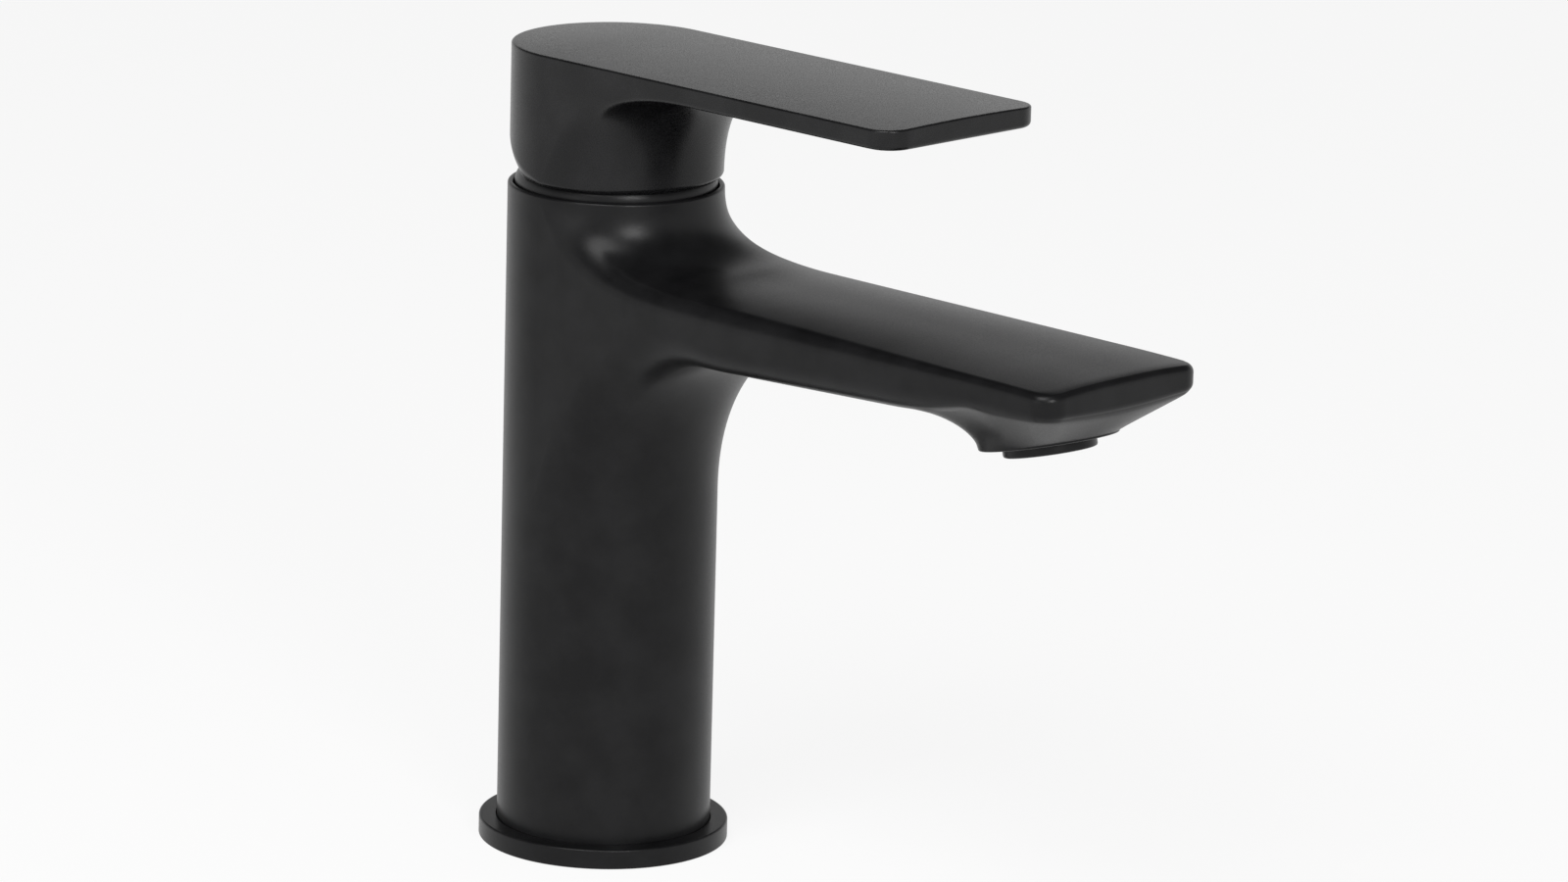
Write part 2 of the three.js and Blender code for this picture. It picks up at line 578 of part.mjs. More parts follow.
function cutPorts(made, low, high, radius) {
  const cutter = bar(radius, low, high);
  return Object.values(PORTS).reduce((left, [x, y]) => left.subtract(cutter.translate([x, y, 0])), made);
}

const SEAL_INNER = PORT_RADIUS + CLEARANCE;
const SEAL_OUTER = SEAL_INNER + SEAL_WIDTH;

// Floor of the cartridge: three ports with a pocket for each seal, and two pegs that find the seat.
function cartridgeBase() {
  const plate = bar(CARTRIDGE_RADIUS, SEAT_HEIGHT, BASE_TOP, ROUND);
  const drilled = cutPorts(plate, SEAT_HEIGHT - 1, BASE_TOP + 1, PORT_RADIUS);
  const pocketed = cutPorts(drilled, SEAT_HEIGHT - 1, SEAT_HEIGHT + SEAL_THICKNESS, SEAL_OUTER + RUNNING_GAP);
  return pocketed.add(peg(-1, 0)).add(peg(1, 0));
}

function portSeal([x, y]) {
  const ring = tube(SEAL_INNER, SEAL_OUTER, SEAT_HEIGHT, SEAT_HEIGHT + SEAL_THICKNESS, SMALL_ROUND);
  return ring.translate([x, y, 0]);
}

function fixedDisc() {
  return cutPorts(bar(DISC_RADIUS, BASE_TOP, FIXED_TOP, ROUND), BASE_TOP - 1, FIXED_TOP + 1, PORT_RADIUS);
}

// Plastic cup over the discs. The rotor's neck comes out of its top.
function cartridgeHousing() {
  const inner = CARTRIDGE_RADIUS - CARTRIDGE_WALL;
  const neck = NECK_RADIUS + CLEARANCE;
  return revolve([
    [inner, BASE_TOP], [CARTRIDGE_RADIUS, BASE_TOP], [CARTRIDGE_RADIUS, HOUSING_TOP], [neck, HOUSING_TOP],
    [neck, HOUSING_CEILING], [inner, HOUSING_CEILING],
  ]);
}

// Splined ring on the housing that can be turned to stop the lever short of full hot.
function limitRing() {
  const top = HOUSING_TOP + LIMIT_RING_HEIGHT;
  const teeth = 12;
  const notch = bar(0.8, HOUSING_TOP - 1, top + 1, 6).translate([LIMIT_RING_RADIUS, 0, 0]);
  return cutAround(tube(NECK_RADIUS + CLEARANCE, LIMIT_RING_RADIUS, HOUSING_TOP, top, 36), notch, teeth);
}

// Brass nut that clamps the cartridge. Six notches round its top take the spanner.
function cartridgeNut() {
  const top = HOUSING_TOP + NUT_HEIGHT;
  const inner = LIMIT_RING_RADIUS + CLEARANCE * 2;
  const notch = block(inner + 1.5, THREAD_RADIUS + 1, -1.6, 1.6, top - 2.5, top + 1);
  return cutAround(tube(inner, THREAD_RADIUS - RUNNING_GAP * 2, HOUSING_TOP, top), notch, 6);
}

// Domed ring that hides the nut: a thin shell that stands in the rim and closes in under the lever.
function coverRing() {
  const opening = COVER_RADIUS - COVER_WIDTH;
  const dome = steps(4).slice(0, -1).map((t) => {
    const angle = (t * Math.PI) / 2;
    return [COVER_RADIUS - COVER_WIDTH * (1 - Math.cos(angle)), RIM_HEIGHT + COVER_RISE * Math.sin(angle)];
  });
  const top = RIM_HEIGHT + COVER_RISE;
  const inside = [...dome].reverse().map(([radius, z]) => [radius - COVER_WALL, z - COVER_WALL]);
  return revolve([
    [COVER_RADIUS, SHOULDER_HEIGHT], ...dome, [opening, top], [opening, top - COVER_WALL],
    ...inside.slice(1), [COVER_RADIUS - COVER_WALL, SHOULDER_HEIGHT],
  ], FINE_ROUND);
}

// ---------------------------------------------------------------- cartridge, moving pieces

// Ceramic disc that opens and closes the ports. The pocket underneath joins them.
function movingDisc() {
  const roof = MOVING_LOW + MOVING_DISC_THICKNESS / 2;
  const back = bar(PORT_RADIUS + 2, MOVING_LOW - 1, roof).translate([0, OUTPORT_BACK - 2, 0]);
  const front = block(-INLET_SIDE + 1, INLET_SIDE - 1, 0, OUTPORT_BACK - 2, MOVING_LOW - 1, roof);
  return bar(MOVING_RADIUS, MOVING_LOW, MOVING_TOP, ROUND).subtract(back.add(front));
}

function discCarrier() {
  const socket = bar(BALL_RADIUS + RUNNING_GAP * 2, MOVING_TOP - 1, CARRIER_TOP + 1);
  return bar(MOVING_RADIUS, MOVING_TOP, CARRIER_TOP, ROUND).subtract(socket);
}

function acrossPivot(half, radius) {
  return rod([-half, 0, PIVOT_HEIGHT], [half, 0, PIVOT_HEIGHT], radius);
}

// Slotted rotor: it turns in the housing, and the stem rocks in its slot about the pin.
function rotor() {
  const across = STEM_WIDTH / 2 + CLEARANCE;
  const along = NECK_RADIUS - 3.1;
  const slot = block(-across, across, -along, along, FLANGE_LOW - 1, ROTOR_TOP + 1);
  return revolve([
    [0, FLANGE_LOW], [DISC_RADIUS, FLANGE_LOW], [DISC_RADIUS, FLANGE_TOP], [NECK_RADIUS, FLANGE_TOP],
    [NECK_RADIUS, ROTOR_TOP], [0, ROTOR_TOP],
  ]).subtract(slot).subtract(acrossPivot(NECK_RADIUS + 2, PIN_RADIUS + RUNNING_GAP));
}

function pivotPin() {
  return acrossPivot(NECK_RADIUS - CLEARANCE, PIN_RADIUS);
}

// Stem: ball foot in the carrier, neck, eye for the pin and a square shank that the lever slips over.
function leverStem() {
  const [w, d] = [STEM_WIDTH / 2, STEM_DEPTH / 2];
  const shankLow = PIVOT_HEIGHT - PIN_RADIUS - 3.5;
  const ball = solid(new THREE.SphereGeometry(BALL_RADIUS, 16, 10).rotateX(Math.PI / 2));
  return ball.translate([0, 0, BALL_HEIGHT])
    .add(bar(BALL_RADIUS - 0.6, BALL_HEIGHT, shankLow + 1))
    .add(block(-w, w, -d, d, shankLow, STEM_TOP))
    .subtract(acrossPivot(STEM_WIDTH, PIN_RADIUS + RUNNING_GAP));
}

// ---------------------------------------------------------------- lever

// Concave sweep from the skirt's front into the plate's underside.
const NECK_SWEEP = [
  [LEVER_RADIUS, PLATE_BOTTOM - NECK_RISE],
  [LEVER_RADIUS, PLATE_BOTTOM - NECK_RISE * 0.224],
  [LEVER_RADIUS + NECK_RUN * 0.252, PLATE_BOTTOM],
  [LEVER_RADIUS + NECK_RUN, PLATE_BOTTOM],
];

// The skirt's edge is level in front. Behind, it climbs, so that the lever can rock back over the rim,
// and its rounding grows with it.
const RELIEF = Math.tan(radians(LIFT_ANGLE));
const skirtEdge = (out) => Math.max(SKIRT_BOTTOM, RIM_HEIGHT + CLEARANCE * 2 - out * RELIEF);
const roundHeight = (out) => 1.2 + 0.34 * Math.max(-out, 0);
const roundWidth = (out) => 0.9 + 0.088 * Math.max(-out, 0);

// Rounding between the plate's flank and its underside: wide where the plate leaves the skirt.
function plateRound(out) {
  const fromSkirt = mix(ROOT_ROUND, PLATE_ROUND, ramp(out, LEVER_RADIUS * 0.4, LEVER_RADIUS * 1.8));
  return ramp(out, 0, LEVER_RADIUS * 0.3) * fromSkirt;
}

function leverShape() {
  const outline = planOutline(LEVER_RADIUS, LEVER_REACH, LEVER_CORNER);
  const limits = [LEVER_RADIUS, LEVER_REACH];
  const bottom = outline.map((p) => towardsColumn(p, 0, LEVER_RADIUS));
  const edgeAt = (q) => skirtEdge(drawIn(q, roundWidth(q[1]), LEVER_RADIUS, LEVER_REACH)[1]);
  const underAt = (q) => Math.max(sweepHeight(NECK_SWEEP, Math.hypot(...q)), edgeAt(q) + roundHeight(q[1]));
  const topEdge = outline.map((p) => edgeArc(p, () => LEVER_TOP, LEVER_CREST, 1, limits));
  const lowEdge = outline.map((p) => edgeArc(p, underAt, plateRound(p[1]), -1, limits));
  const ringOf = (arcs, i) => arcs.map((arc) => place([arc[i][0], arc[i][1]], arc[i][2]));
  const under = steps(7).map((t) => 0.34 * (1 - t) ** 1.7).map((share) => lowEdge.map(([start]) => {
    const q = towardsColumn([start[0], start[1]], share, LEVER_RADIUS);
    return place(q, underAt(q));
  }));
  const skirt = steps(4).slice(1).map((t) => bottom.map((q) => {
    const scale = 1 - (roundWidth(q[1]) / LEVER_RADIUS) * t ** 1.7;
    return place(q.map((v) => v * scale), edgeAt(q) + roundHeight(q[1]) * (1 - t));
  }));
  const edges = [0, 1, 3].map((i) => ringOf(topEdge, i)).concat([3, 2, 1, 0].map((i) => ringOf(lowEdge, i)));
  return skin([...edges, ...under, ...skirt]);
}

// Hollow of the skirt: its mouth is wider, so that it clears the cover ring.
function leverCavity() {
  const mouth = COVER_RADIUS - 0.4;
  const inner = LEVER_RADIUS - SKIRT_WALL;
  return revolve([
    [0, SKIRT_BOTTOM - 3], [mouth, SKIRT_BOTTOM - 3], [mouth, SKIRT_BOTTOM + 0.3],
    [inner, SKIRT_BOTTOM + 3.4], [inner, CAVITY_TOP - 3], [inner - 3, CAVITY_TOP], [0, CAVITY_TOP],
  ]);
}

function leverHandle() {
  const [w, d] = [STEM_WIDTH / 2 + RUNNING_GAP, STEM_DEPTH / 2 + RUNNING_GAP];
  const back = (from, to, radius) => rod([0, from, SCREW_HEIGHT], [0, to, SCREW_HEIGHT], radius);
  return leverShape()
    .subtract(leverCavity())
    .add(bar(HUB_RADIUS, HUB_BOTTOM, CAVITY_TOP + 1, 32))
    .subtract(block(-w, w, -d, d, HUB_BOTTOM - 1, STEM_TOP + CLEARANCE))
    .subtract(back(0, HUB_RADIUS + 3, SCREW_RADIUS + RUNNING_GAP))
    .subtract(back(HUB_RADIUS + 3, LEVER_RADIUS + 3, PLUG_RADIUS + RUNNING_GAP));
}

function grubScrew() {
  const tip = STEM_DEPTH / 2 + RUNNING_GAP;
  const end = tip + SCREW_LENGTH;
  const hexSocket = rod([0, end - 3, SCREW_HEIGHT], [0, end + 1, SCREW_HEIGHT], SCREW_RADIUS * 0.56, 6);
  return rod([0, tip, SCREW_HEIGHT], [0, end, SCREW_HEIGHT], SCREW_RADIUS).subtract(hexSocket);
}

function screwPlug() {
  const face = LEVER_RADIUS - CLEARANCE;
  return rod([0, face - PLUG_THICKNESS, SCREW_HEIGHT], [0, face, SCREW_HEIGHT], PLUG_RADIUS);
}

// ---------------------------------------------------------------- aerator, upright until it is tilted

const AERATOR_INNER = AERATOR_RADIUS - AERATOR_WALL;
const INSERT_RADIUS = AERATOR_INNER - CLEARANCE;
const JET_PITCH = INSERT_RADIUS / 3;
const AERATOR_TOP = SOCKET_DEPTH - 2.8;
const SCREEN_THICKNESS = 0.6;

function aeratorHousing() {
  const chamfer = 0.5;
  const lip = 0.8;
  return revolve([
    [AERATOR_INNER, -AERATOR_DROP], [AERATOR_RADIUS - chamfer, -AERATOR_DROP],
    [AERATOR_RADIUS, -AERATOR_DROP + chamfer], [AERATOR_RADIUS, AERATOR_TOP],
    [AERATOR_INNER - lip, AERATOR_TOP], [AERATOR_INNER - lip, AERATOR_TOP - lip],
    [AERATOR_INNER, AERATOR_TOP - lip],
  ]);
}

const SCREEN_TOP = AERATOR_TOP - 0.8 - CLEARANCE;
const INSERT_TOP = SCREEN_TOP - SCREEN_THICKNESS - CLEARANCE;

// Plastic insert with a honeycomb of jets: one in the middle and two rings round it.
function aeratorInsert() {
  const jet = bar(JET_PITCH * 0.35, -AERATOR_DROP, AERATOR_TOP, 6);
  const rings = [[0, 1], [JET_PITCH, 6], [JET_PITCH * 2, 12]];
  return rings.reduce(
    (left, [radius, count]) => cutAround(left, jet.translate([radius, 0, 0]), count),
    bar(INSERT_RADIUS, -AERATOR_DROP + 0.8, INSERT_TOP, 36),
  );
}

function aeratorScreen() {
  const hole = bar(JET_PITCH * 0.55, INSERT_TOP, AERATOR_TOP, 8).translate([INSERT_RADIUS / 2, 0, 0]);
  return cutAround(bar(INSERT_RADIUS, SCREEN_TOP - SCREEN_THICKNESS, SCREEN_TOP, 36), hole, 6);
}

function aeratorSeal() {
  const [low, high] = [AERATOR_TOP + CLEARANCE, SOCKET_DEPTH - CLEARANCE];
  return tube(AERATOR_INNER - 1, AERATOR_RADIUS - RUNNING_GAP, low, high, 36);
}

// ---------------------------------------------------------------- assembly

const FINISHES = {
  blackCoat: { color: 0x2b2b2c, roughness: 0.5, metalness: 0.35 },
  brass: { color: 0xb58d4a, roughness: 0.35, metalness: 1 },
  steel: { color: 0xa9abad, roughness: 0.3, metalness: 1 },
  rubber: { color: 0x1c1c1c, roughness: 0.85, metalness: 0 },
  greyPlastic: { color: 0xb9bcc0, roughness: 0.5, metalness: 0 },
  redPlastic: { color: 0xb2362c, roughness: 0.5, metalness: 0 },
  blackPlastic: { color: 0x242424, roughness: 0.45, metalness: 0 },
  ceramic: { color: 0xe8e6e0, roughness: 0.2, metalness: 0 },
};

function piece(name, finish, made) {
  const mesh = new THREE.Mesh(geometryOf(made), new THREE.MeshStandardMaterial(FINISHES[finish]));
  mesh.name = name;
  return mesh;
}

function bodyPieces() {
  return [
    piece("faucet_body", "blackCoat", faucetBody()),
    piece("base_ring", "blackCoat", baseRing()),
    piece("base_o_ring", "rubber", baseORing()),
    piece("base_gasket", "rubber", baseGasket()),
    piece("cover_ring", "blackCoat", coverRing()),
  ];
}

function cartridgePieces() {
  const seals = Object.entries(PORTS).map(([port, at]) => piece("seal_" + port, "rubber", portSeal(at)));
  return [
    piece("cartridge_nut", "brass", cartridgeNut()),
    piece("cartridge_housing", "greyPlastic", cartridgeHousing()),
    piece("cartridge_base", "greyPlastic", cartridgeBase()),
    ...seals,
    piece("fixed_disc", "ceramic", fixedDisc()),
    piece("limit_ring", "redPlastic", limitRing()),
    piece("moving_disc", "ceramic", movingDisc()),
    piece("disc_carrier", "blackPlastic", discCarrier()),
    piece("rotor", "blackPlastic", rotor()),
    piece("pivot_pin", "steel", pivotPin()),
  ];
}

function leverPieces() {
  return [
    piece("lever_stem", "brass", leverStem()),
    piece("lever_handle", "blackCoat", leverHandle()),
    piece("grub_screw", "steel", grubScrew()),
    piece("screw_plug", "blackPlastic", screwPlug()),
  ];
}

// The aerator's pieces are made upright, and this group tilts them onto the jet's axis.
function aeratorPieces() {
  const tilted = new THREE.Group();
  tilted.position.set(0, -OUTLET_OUT, OUTLET_HEIGHT);
  tilted.rotation.x = radians(-OUTLET_TILT);
  tilted.add(
    piece("aerator_housing", "blackCoat", aeratorHousing()),
    piece("aerator_insert", "greyPlastic", aeratorInsert()),
    piece("aerator_screen", "steel", aeratorScreen()),
    piece("aerator_seal", "rubber", aeratorSeal()),
  );
  return tilted;
}

const faucet = new THREE.Group();
faucet.add(...bodyPieces(), ...cartridgePieces(), ...leverPieces(), aeratorPieces());

export default faucet;
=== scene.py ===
# %% [markdown]
# # A single-lever basin mixer in matt black
#
# This lesson dresses a finished CAD model of a tall basin mixer: a round column on a base ring, a spout that
# grows out of it in two hollow sweeps, a flat lever above it, and a small round outlet under the spout's tip.
# The CAD model comes in as a fixed frame. Its inner pieces keep their own shapes and get better finishes.
# The pieces that the eye rests on are rebuilt here with finer surfaces and softly rounded edges, on exactly
# the same measurements, and ride on the same moving bodies.

# %% Load the fixed frame
import math

import bmesh
import bpy
import numpy as np
from mathutils import Matrix, Vector


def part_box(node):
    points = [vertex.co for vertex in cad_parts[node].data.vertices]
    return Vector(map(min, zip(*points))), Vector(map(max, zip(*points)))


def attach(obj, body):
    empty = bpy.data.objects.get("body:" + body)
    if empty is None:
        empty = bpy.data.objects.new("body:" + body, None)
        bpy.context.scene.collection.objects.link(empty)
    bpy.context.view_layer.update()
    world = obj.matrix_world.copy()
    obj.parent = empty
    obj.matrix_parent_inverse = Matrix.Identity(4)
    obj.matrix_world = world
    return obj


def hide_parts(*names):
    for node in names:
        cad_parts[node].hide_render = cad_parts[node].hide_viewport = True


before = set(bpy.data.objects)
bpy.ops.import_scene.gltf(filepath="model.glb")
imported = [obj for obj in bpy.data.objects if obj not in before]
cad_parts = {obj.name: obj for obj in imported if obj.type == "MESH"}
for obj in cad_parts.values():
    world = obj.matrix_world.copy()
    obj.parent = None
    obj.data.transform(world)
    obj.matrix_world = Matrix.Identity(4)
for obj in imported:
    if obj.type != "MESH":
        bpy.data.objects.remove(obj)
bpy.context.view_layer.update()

# %% [markdown]
# ## Camera
#
# A mixer like this is usually shown from a little above, with a long lens, so that its upright lines stay
# upright and nothing near the lens looks swollen. The spout points towards us and to the right. The small
# roll is the slight lean of a tripod that isn't quite level. A tracking constraint could aim the camera, but
# it can't hold that lean, so the camera is turned by three plain angles.

# %% Place the camera
LENS_MM, SENSOR_MM = 173.4, 36
CAMERA_PLACE = (-1.0673, -1.0937, 0.4716)  # metres from the middle of the column's foot
CAMERA_TURNS = (75.8425, -1.4835, -45.2788)  # degrees about x, y and z
lens = bpy.data.cameras.new("long_lens")
lens.lens, lens.sensor_width = LENS_MM, SENSOR_MM
camera = bpy.data.objects.new("camera", lens)
camera.location = CAMERA_PLACE
camera.rotation_euler = [math.radians(turn) for turn in CAMERA_TURNS]
bpy.context.scene.collection.objects.link(camera)
bpy.context.scene.camera = camera
print("camera stands", round(camera.location.length, 2), "m from the column's foot")

# %% [markdown]
# ## Colours and nodes
#
# Colours are easiest to think about as the hex values that a paint program shows. Blender's shaders want them
# linear, so one function turns them. Another adds a node to a material, sets its values and joins its inputs,
# which keeps each material below as short as a recipe. The same nodes could be laid out by hand in the shader
# editor, but a recipe can be read from top to bottom.

# %% Helpers for materials
MM = 0.001


def colour(hex_value):
    """An sRGB hex colour such as "#202122" as linear red, green, blue and alpha."""
    parts = [int(hex_value[i:i + 2], 16) / 255 for i in (1, 3, 5)]
    return [*(v / 12.92 if v <= 0.04045 else ((v + 0.055) / 1.055) ** 2.4 for v in parts), 1]


def feed(tree, node, **links):
    """Links outputs into a node's inputs by name. An underscore stands for a space."""
    for name, source in links.items():
        tree.links.new(source, node.inputs[name.replace("_", " ")])


def add(tree, kind, values=(), **links):
    """Adds one node, sets its properties or inputs by name, and feeds its inputs."""
    node = tree.nodes.new(kind)
    for name, value in dict(values).items():
        if hasattr(node, name):
            setattr(node, name, value)
        else:
            node.inputs[name].default_value = value
    feed(tree, node, **links)
    return node


print("mid grey is", [round(v, 3) for v in colour("#808080")])

# %% [markdown]
# ## Room
#
# Matt black lives from what it mirrors, softly. The room is a plain gradient: pale from the ground to a
# little above the horizon, where the flat tops mirror it, and dim overhead, so that the hollows stay deep. A
# studio panorama could stand in for it, but a gradient has only four values to tune.

# %% Fill the room with a gradient
PALE_UP_TO, DIM_FROM = 11, 22  # degrees above the horizon
ROOM_PALE, ROOM_DIM = 1.0, 0.1  # strengths below and above

world = bpy.data.worlds.new("pale_room")
bpy.context.scene.world = world
world.use_nodes = True
room = world.node_tree
room.nodes.clear()
facing = add(room, "ShaderNodeTexCoord").outputs["Generated"]
height = add(room, "ShaderNodeSeparateXYZ", Vector=facing).outputs["Z"]
fall_off = add(room, "ShaderNodeMapRange", {
    "From Min": math.sin(math.radians(PALE_UP_TO)), "From Max": math.sin(math.radians(DIM_FROM)),
    "To Min": ROOM_PALE, "To Max": ROOM_DIM}, Value=height)
sky = add(room, "ShaderNodeBackground", {"Color": colour("#FFFFFF")}, Strength=fall_off.outputs["Result"])
add(room, "ShaderNodeOutputWorld", Surface=sky.outputs[0])
bpy.context.scene.view_settings.view_transform = "Standard"
print("room is pale up to", PALE_UP_TO, "degrees and dim from", DIM_FROM)

# %% [markdown]
# ## Soft boxes
#
# Three soft boxes hang round the mixer. The large one, high on the left, puts the long highlight into the
# hollow above the spout and the sheen on the tops. The small one, in front, adds a narrower highlight beside
# it. The weak one, low on the left, only lifts the column's side out of black. Point lamps would do it with
# less, but they draw hard spots on a coat like this. Room and boxes together light a white card to just under
# white, so every colour renders about as it is written.

# %% Hang the soft boxes
MIDDLE = Vector((0, -0.05, 0.09))  # metres; what the boxes face
LAMP_DISTANCE = 1.6


def soft_box(name, turn, rise, width, height, watts):
    """A rectangular area lamp, turned round the mixer and raised above it by angles in degrees."""
    lamp = bpy.data.lights.new(name, "AREA")
    lamp.shape = "RECTANGLE"
    lamp.size, lamp.size_y, lamp.energy = width, height, watts
    holder = bpy.data.objects.new(name, lamp)
    turn, rise = math.radians(turn), math.radians(rise)
    towards = Vector((math.cos(turn) * math.cos(rise), math.sin(turn) * math.cos(rise), math.sin(rise)))
    holder.location = MIDDLE + LAMP_DISTANCE * towards
    holder.rotation_mode = "QUATERNION"
    holder.rotation_quaternion = (-towards).to_track_quat("-Z", "Y")
    bpy.context.scene.collection.objects.link(holder)


soft_box("high_box_left", turn=197, rise=50, width=0.9, height=0.9, watts=18)
soft_box("small_box_front", turn=243, rise=24, width=0.45, height=0.45, watts=11)
soft_box("low_box_left", turn=180, rise=8, width=0.9, height=0.6, watts=1.5)

# %% [markdown]
# ## Floor
#
# A plain pale floor runs out of sight in every direction: a matt white card. For rays that come from the
# camera, from a mirror or through glass, most of its shading is swapped for an even white. So the ground is
# pale without any more light on the mixer, and a little of the soft shadow under the base stays. Brighter
# lamps would whiten it too, but they would turn the black coat grey.

# %% White for what is seen
WHITE_SHARE = 0.88  # how much of the floor's shading is swapped


def white_when_seen(tree, plain, white, share):
    """Mixes in the white shader, by a share, for rays from the camera, from a mirror or through glass."""
    seen = add(tree, "ShaderNodeLightPath").outputs
    either = add(tree, "ShaderNodeMath", {"operation": "MAXIMUM"})
    tree.links.new(seen["Is Camera Ray"], either.inputs[0])
    tree.links.new(seen["Is Glossy Ray"], either.inputs[1])
    any_of_three = add(tree, "ShaderNodeMath", {"operation": "MAXIMUM"})
    tree.links.new(either.outputs[0], any_of_three.inputs[0])
    tree.links.new(seen["Is Transmission Ray"], any_of_three.inputs[1])
    amount = add(tree, "ShaderNodeMath", {"operation": "MULTIPLY"})
    tree.links.new(any_of_three.outputs[0], amount.inputs[0])
    amount.inputs[1].default_value = share
    blend = add(tree, "ShaderNodeMixShader")
    for socket, source in enumerate((amount, plain, white)):
        tree.links.new(source.outputs[0], blend.inputs[socket])
    return blend.outputs[0]


print("share of white:", WHITE_SHARE)

# %% Matt white card
CLOUD_ON_CARD_MM = 180


def pale_card():
    """Matt white studio card: even and chalky, with the faintest cloudiness."""
    material = bpy.data.materials.new("matt_white_card")
    material.use_nodes = True
    tree = material.node_tree
    tree.nodes.clear()
    place = add(tree, "ShaderNodeTexCoord").outputs["Object"]
    cloud = add(tree, "ShaderNodeTexNoise", {"Scale": 1000 / CLOUD_ON_CARD_MM, "Detail": 2}, Vector=place)
    tone = add(tree, "ShaderNodeValToRGB", Fac=cloud.outputs["Fac"])
    tone.color_ramp.elements[0].color = colour("#F1F1F0")
    tone.color_ramp.elements[1].color = colour("#F4F4F4")
    card = add(tree, "ShaderNodeBsdfDiffuse", Color=tone.outputs["Color"])
    glow = add(tree, "ShaderNodeEmission", {"Color": colour("#FFFFFF"), "Strength": 1.0})
    add(tree, "ShaderNodeOutputMaterial", Surface=white_when_seen(tree, card, glow, WHITE_SHARE))
    return material


print("the card's patches are", CLOUD_ON_CARD_MM, "mm wide")

# %% Lay the floor
FLOOR_RADIUS = 6  # metres


def round_floor(radius, sides=64):
    """A flat disc at the height of the mixer's foot."""
    mesh = bpy.data.meshes.new("floor")
    rim = [(radius * math.cos(a), radius * math.sin(a), 0) for a in np.linspace(0, 2 * math.pi, sides, False)]
    mesh.from_pydata(rim, [], [list(range(sides))])
    mesh.materials.append(pale_card())
    floor = bpy.data.objects.new("floor", mesh)
    bpy.context.scene.collection.objects.link(floor)
    return floor


round_floor(FLOOR_RADIUS)
print("floor is", 2 * FLOOR_RADIUS, "m across")

# %% [markdown]
# ## Matt black coat
#
# The real mixer is cast brass with a matt black electrocoat baked on. The coat is a non-metal with an IOR of
# about 1.5. Its surface is a very fine grain, which spreads every reflection wide, over a slow ripple of a
# few millimetres that the polished casting leaves. The eye reads that as a deep black in front and a soft
# grey sheen where the surface turns away. One even roughness would look like plastic film, so a noise varies
# the colour and the roughness, and two bumps lay the grain over the ripple.

# %% A place to start each finish
NOISE_LOW, NOISE_HIGH = 0.35, 0.65  # nearly all of a noise pattern lies between these values


def new_finish(name, metallic, rough, ior=None):
    """A new material with its constant values set on the shader. A metal keeps the default IOR."""
    material = bpy.data.materials.new(name)
    material.use_nodes = True
    tree = material.node_tree
    shader = tree.nodes["Principled BSDF"]
    shader.inputs["Metallic"].default_value = metallic
    shader.inputs["Roughness"].default_value = rough
    if ior is not None:
        shader.inputs["IOR"].default_value = ior
    return material, tree, shader, add(tree, "ShaderNodeTexCoord").outputs["Object"]


def mottle(tree, place, shader, patch_mm, first, second):
    """Lets the colour drift between two tones in patches of a size in millimetres."""
    patches = add(tree, "ShaderNodeTexNoise", {"Scale": 1000 / patch_mm, "Detail": 3}, Vector=place)
    tone = add(tree, "ShaderNodeValToRGB", Fac=patches.outputs["Fac"])
    low, high = tone.color_ramp.elements
    low.position, high.position = NOISE_LOW, NOISE_HIGH
    low.color, high.color = colour(first), colour(second)
    feed(tree, shader, Base_Color=tone.outputs["Color"])


print("noise is spread from", NOISE_LOW, "to", NOISE_HIGH)

# %% The black coats
CLOUD_MM = 9  # size of the drifting patches of colour
RIPPLE_DEPTH_MM, GRAIN_DEPTH_MM = 0.025, 0.018


def black_coat(name, deep, dusty, smooth, rough, specular, grain_mm, ripple_mm):
    """Baked matt black coat. The true grain is under 0.1 mm, so it is drawn as coarse as it needs to show."""
    material, tree, shader, place = new_finish(name, metallic=0.0, rough=rough, ior=1.5)
    shader.inputs["Specular IOR Level"].default_value = specular
    mottle(tree, place, shader, CLOUD_MM, first=deep, second=dusty)
    grain = add(tree, "ShaderNodeTexNoise", {"Scale": 1000 / grain_mm, "Detail": 2}, Vector=place)
    ripple = add(tree, "ShaderNodeTexNoise", {"Scale": 1000 / ripple_mm, "Detail": 1}, Vector=place)
    sheen = add(tree, "ShaderNodeMapRange", {
        "From Min": NOISE_LOW, "From Max": NOISE_HIGH, "To Min": smooth, "To Max": rough},
        Value=grain.outputs["Fac"])
    wave = add(tree, "ShaderNodeBump", {"Strength": 0.4, "Distance": RIPPLE_DEPTH_MM * MM},
               Height=ripple.outputs["Fac"])
    pores = add(tree, "ShaderNodeBump", {"Strength": 0.8, "Distance": GRAIN_DEPTH_MM * MM},
                Height=grain.outputs["Fac"], Normal=wave.outputs["Normal"])
    feed(tree, shader, Roughness=sheen.outputs["Result"], Normal=pores.outputs["Normal"])
    return material


coat_on_brass = black_coat("matt_black_electrocoat_on_brass", "#0D0D0E", "#151516",
                           smooth=0.30, rough=0.37, specular=0.18, grain_mm=0.3, ripple_mm=4)
coat_on_zinc = black_coat("matt_black_electrocoat_on_zinc", "#0D0D0E", "#161617",
                          smooth=0.25, rough=0.33, specular=0.24, grain_mm=0.3, ripple_mm=4)
print("coats:", coat_on_brass.name, coat_on_zinc.name)

# %% [markdown]
# ## Fine surfaces from plain measurements
#
# The body and the lever are castings whose sides run straight into a round column. They could be carved with
# booleans or with a subdivision cage, but both leave the long hollow sweeps a little lumpy. Here each surface
# is a sheet of points that follows a formula, row by row. Neighbouring sheets share their border points, so
# welding them gives one closed skin with even quads, and soft highlights run over it without a kink.

# %% Weld sheets into a skin
WELD_DISTANCE = 0.002 * MM  # far finer than any edge that is modelled


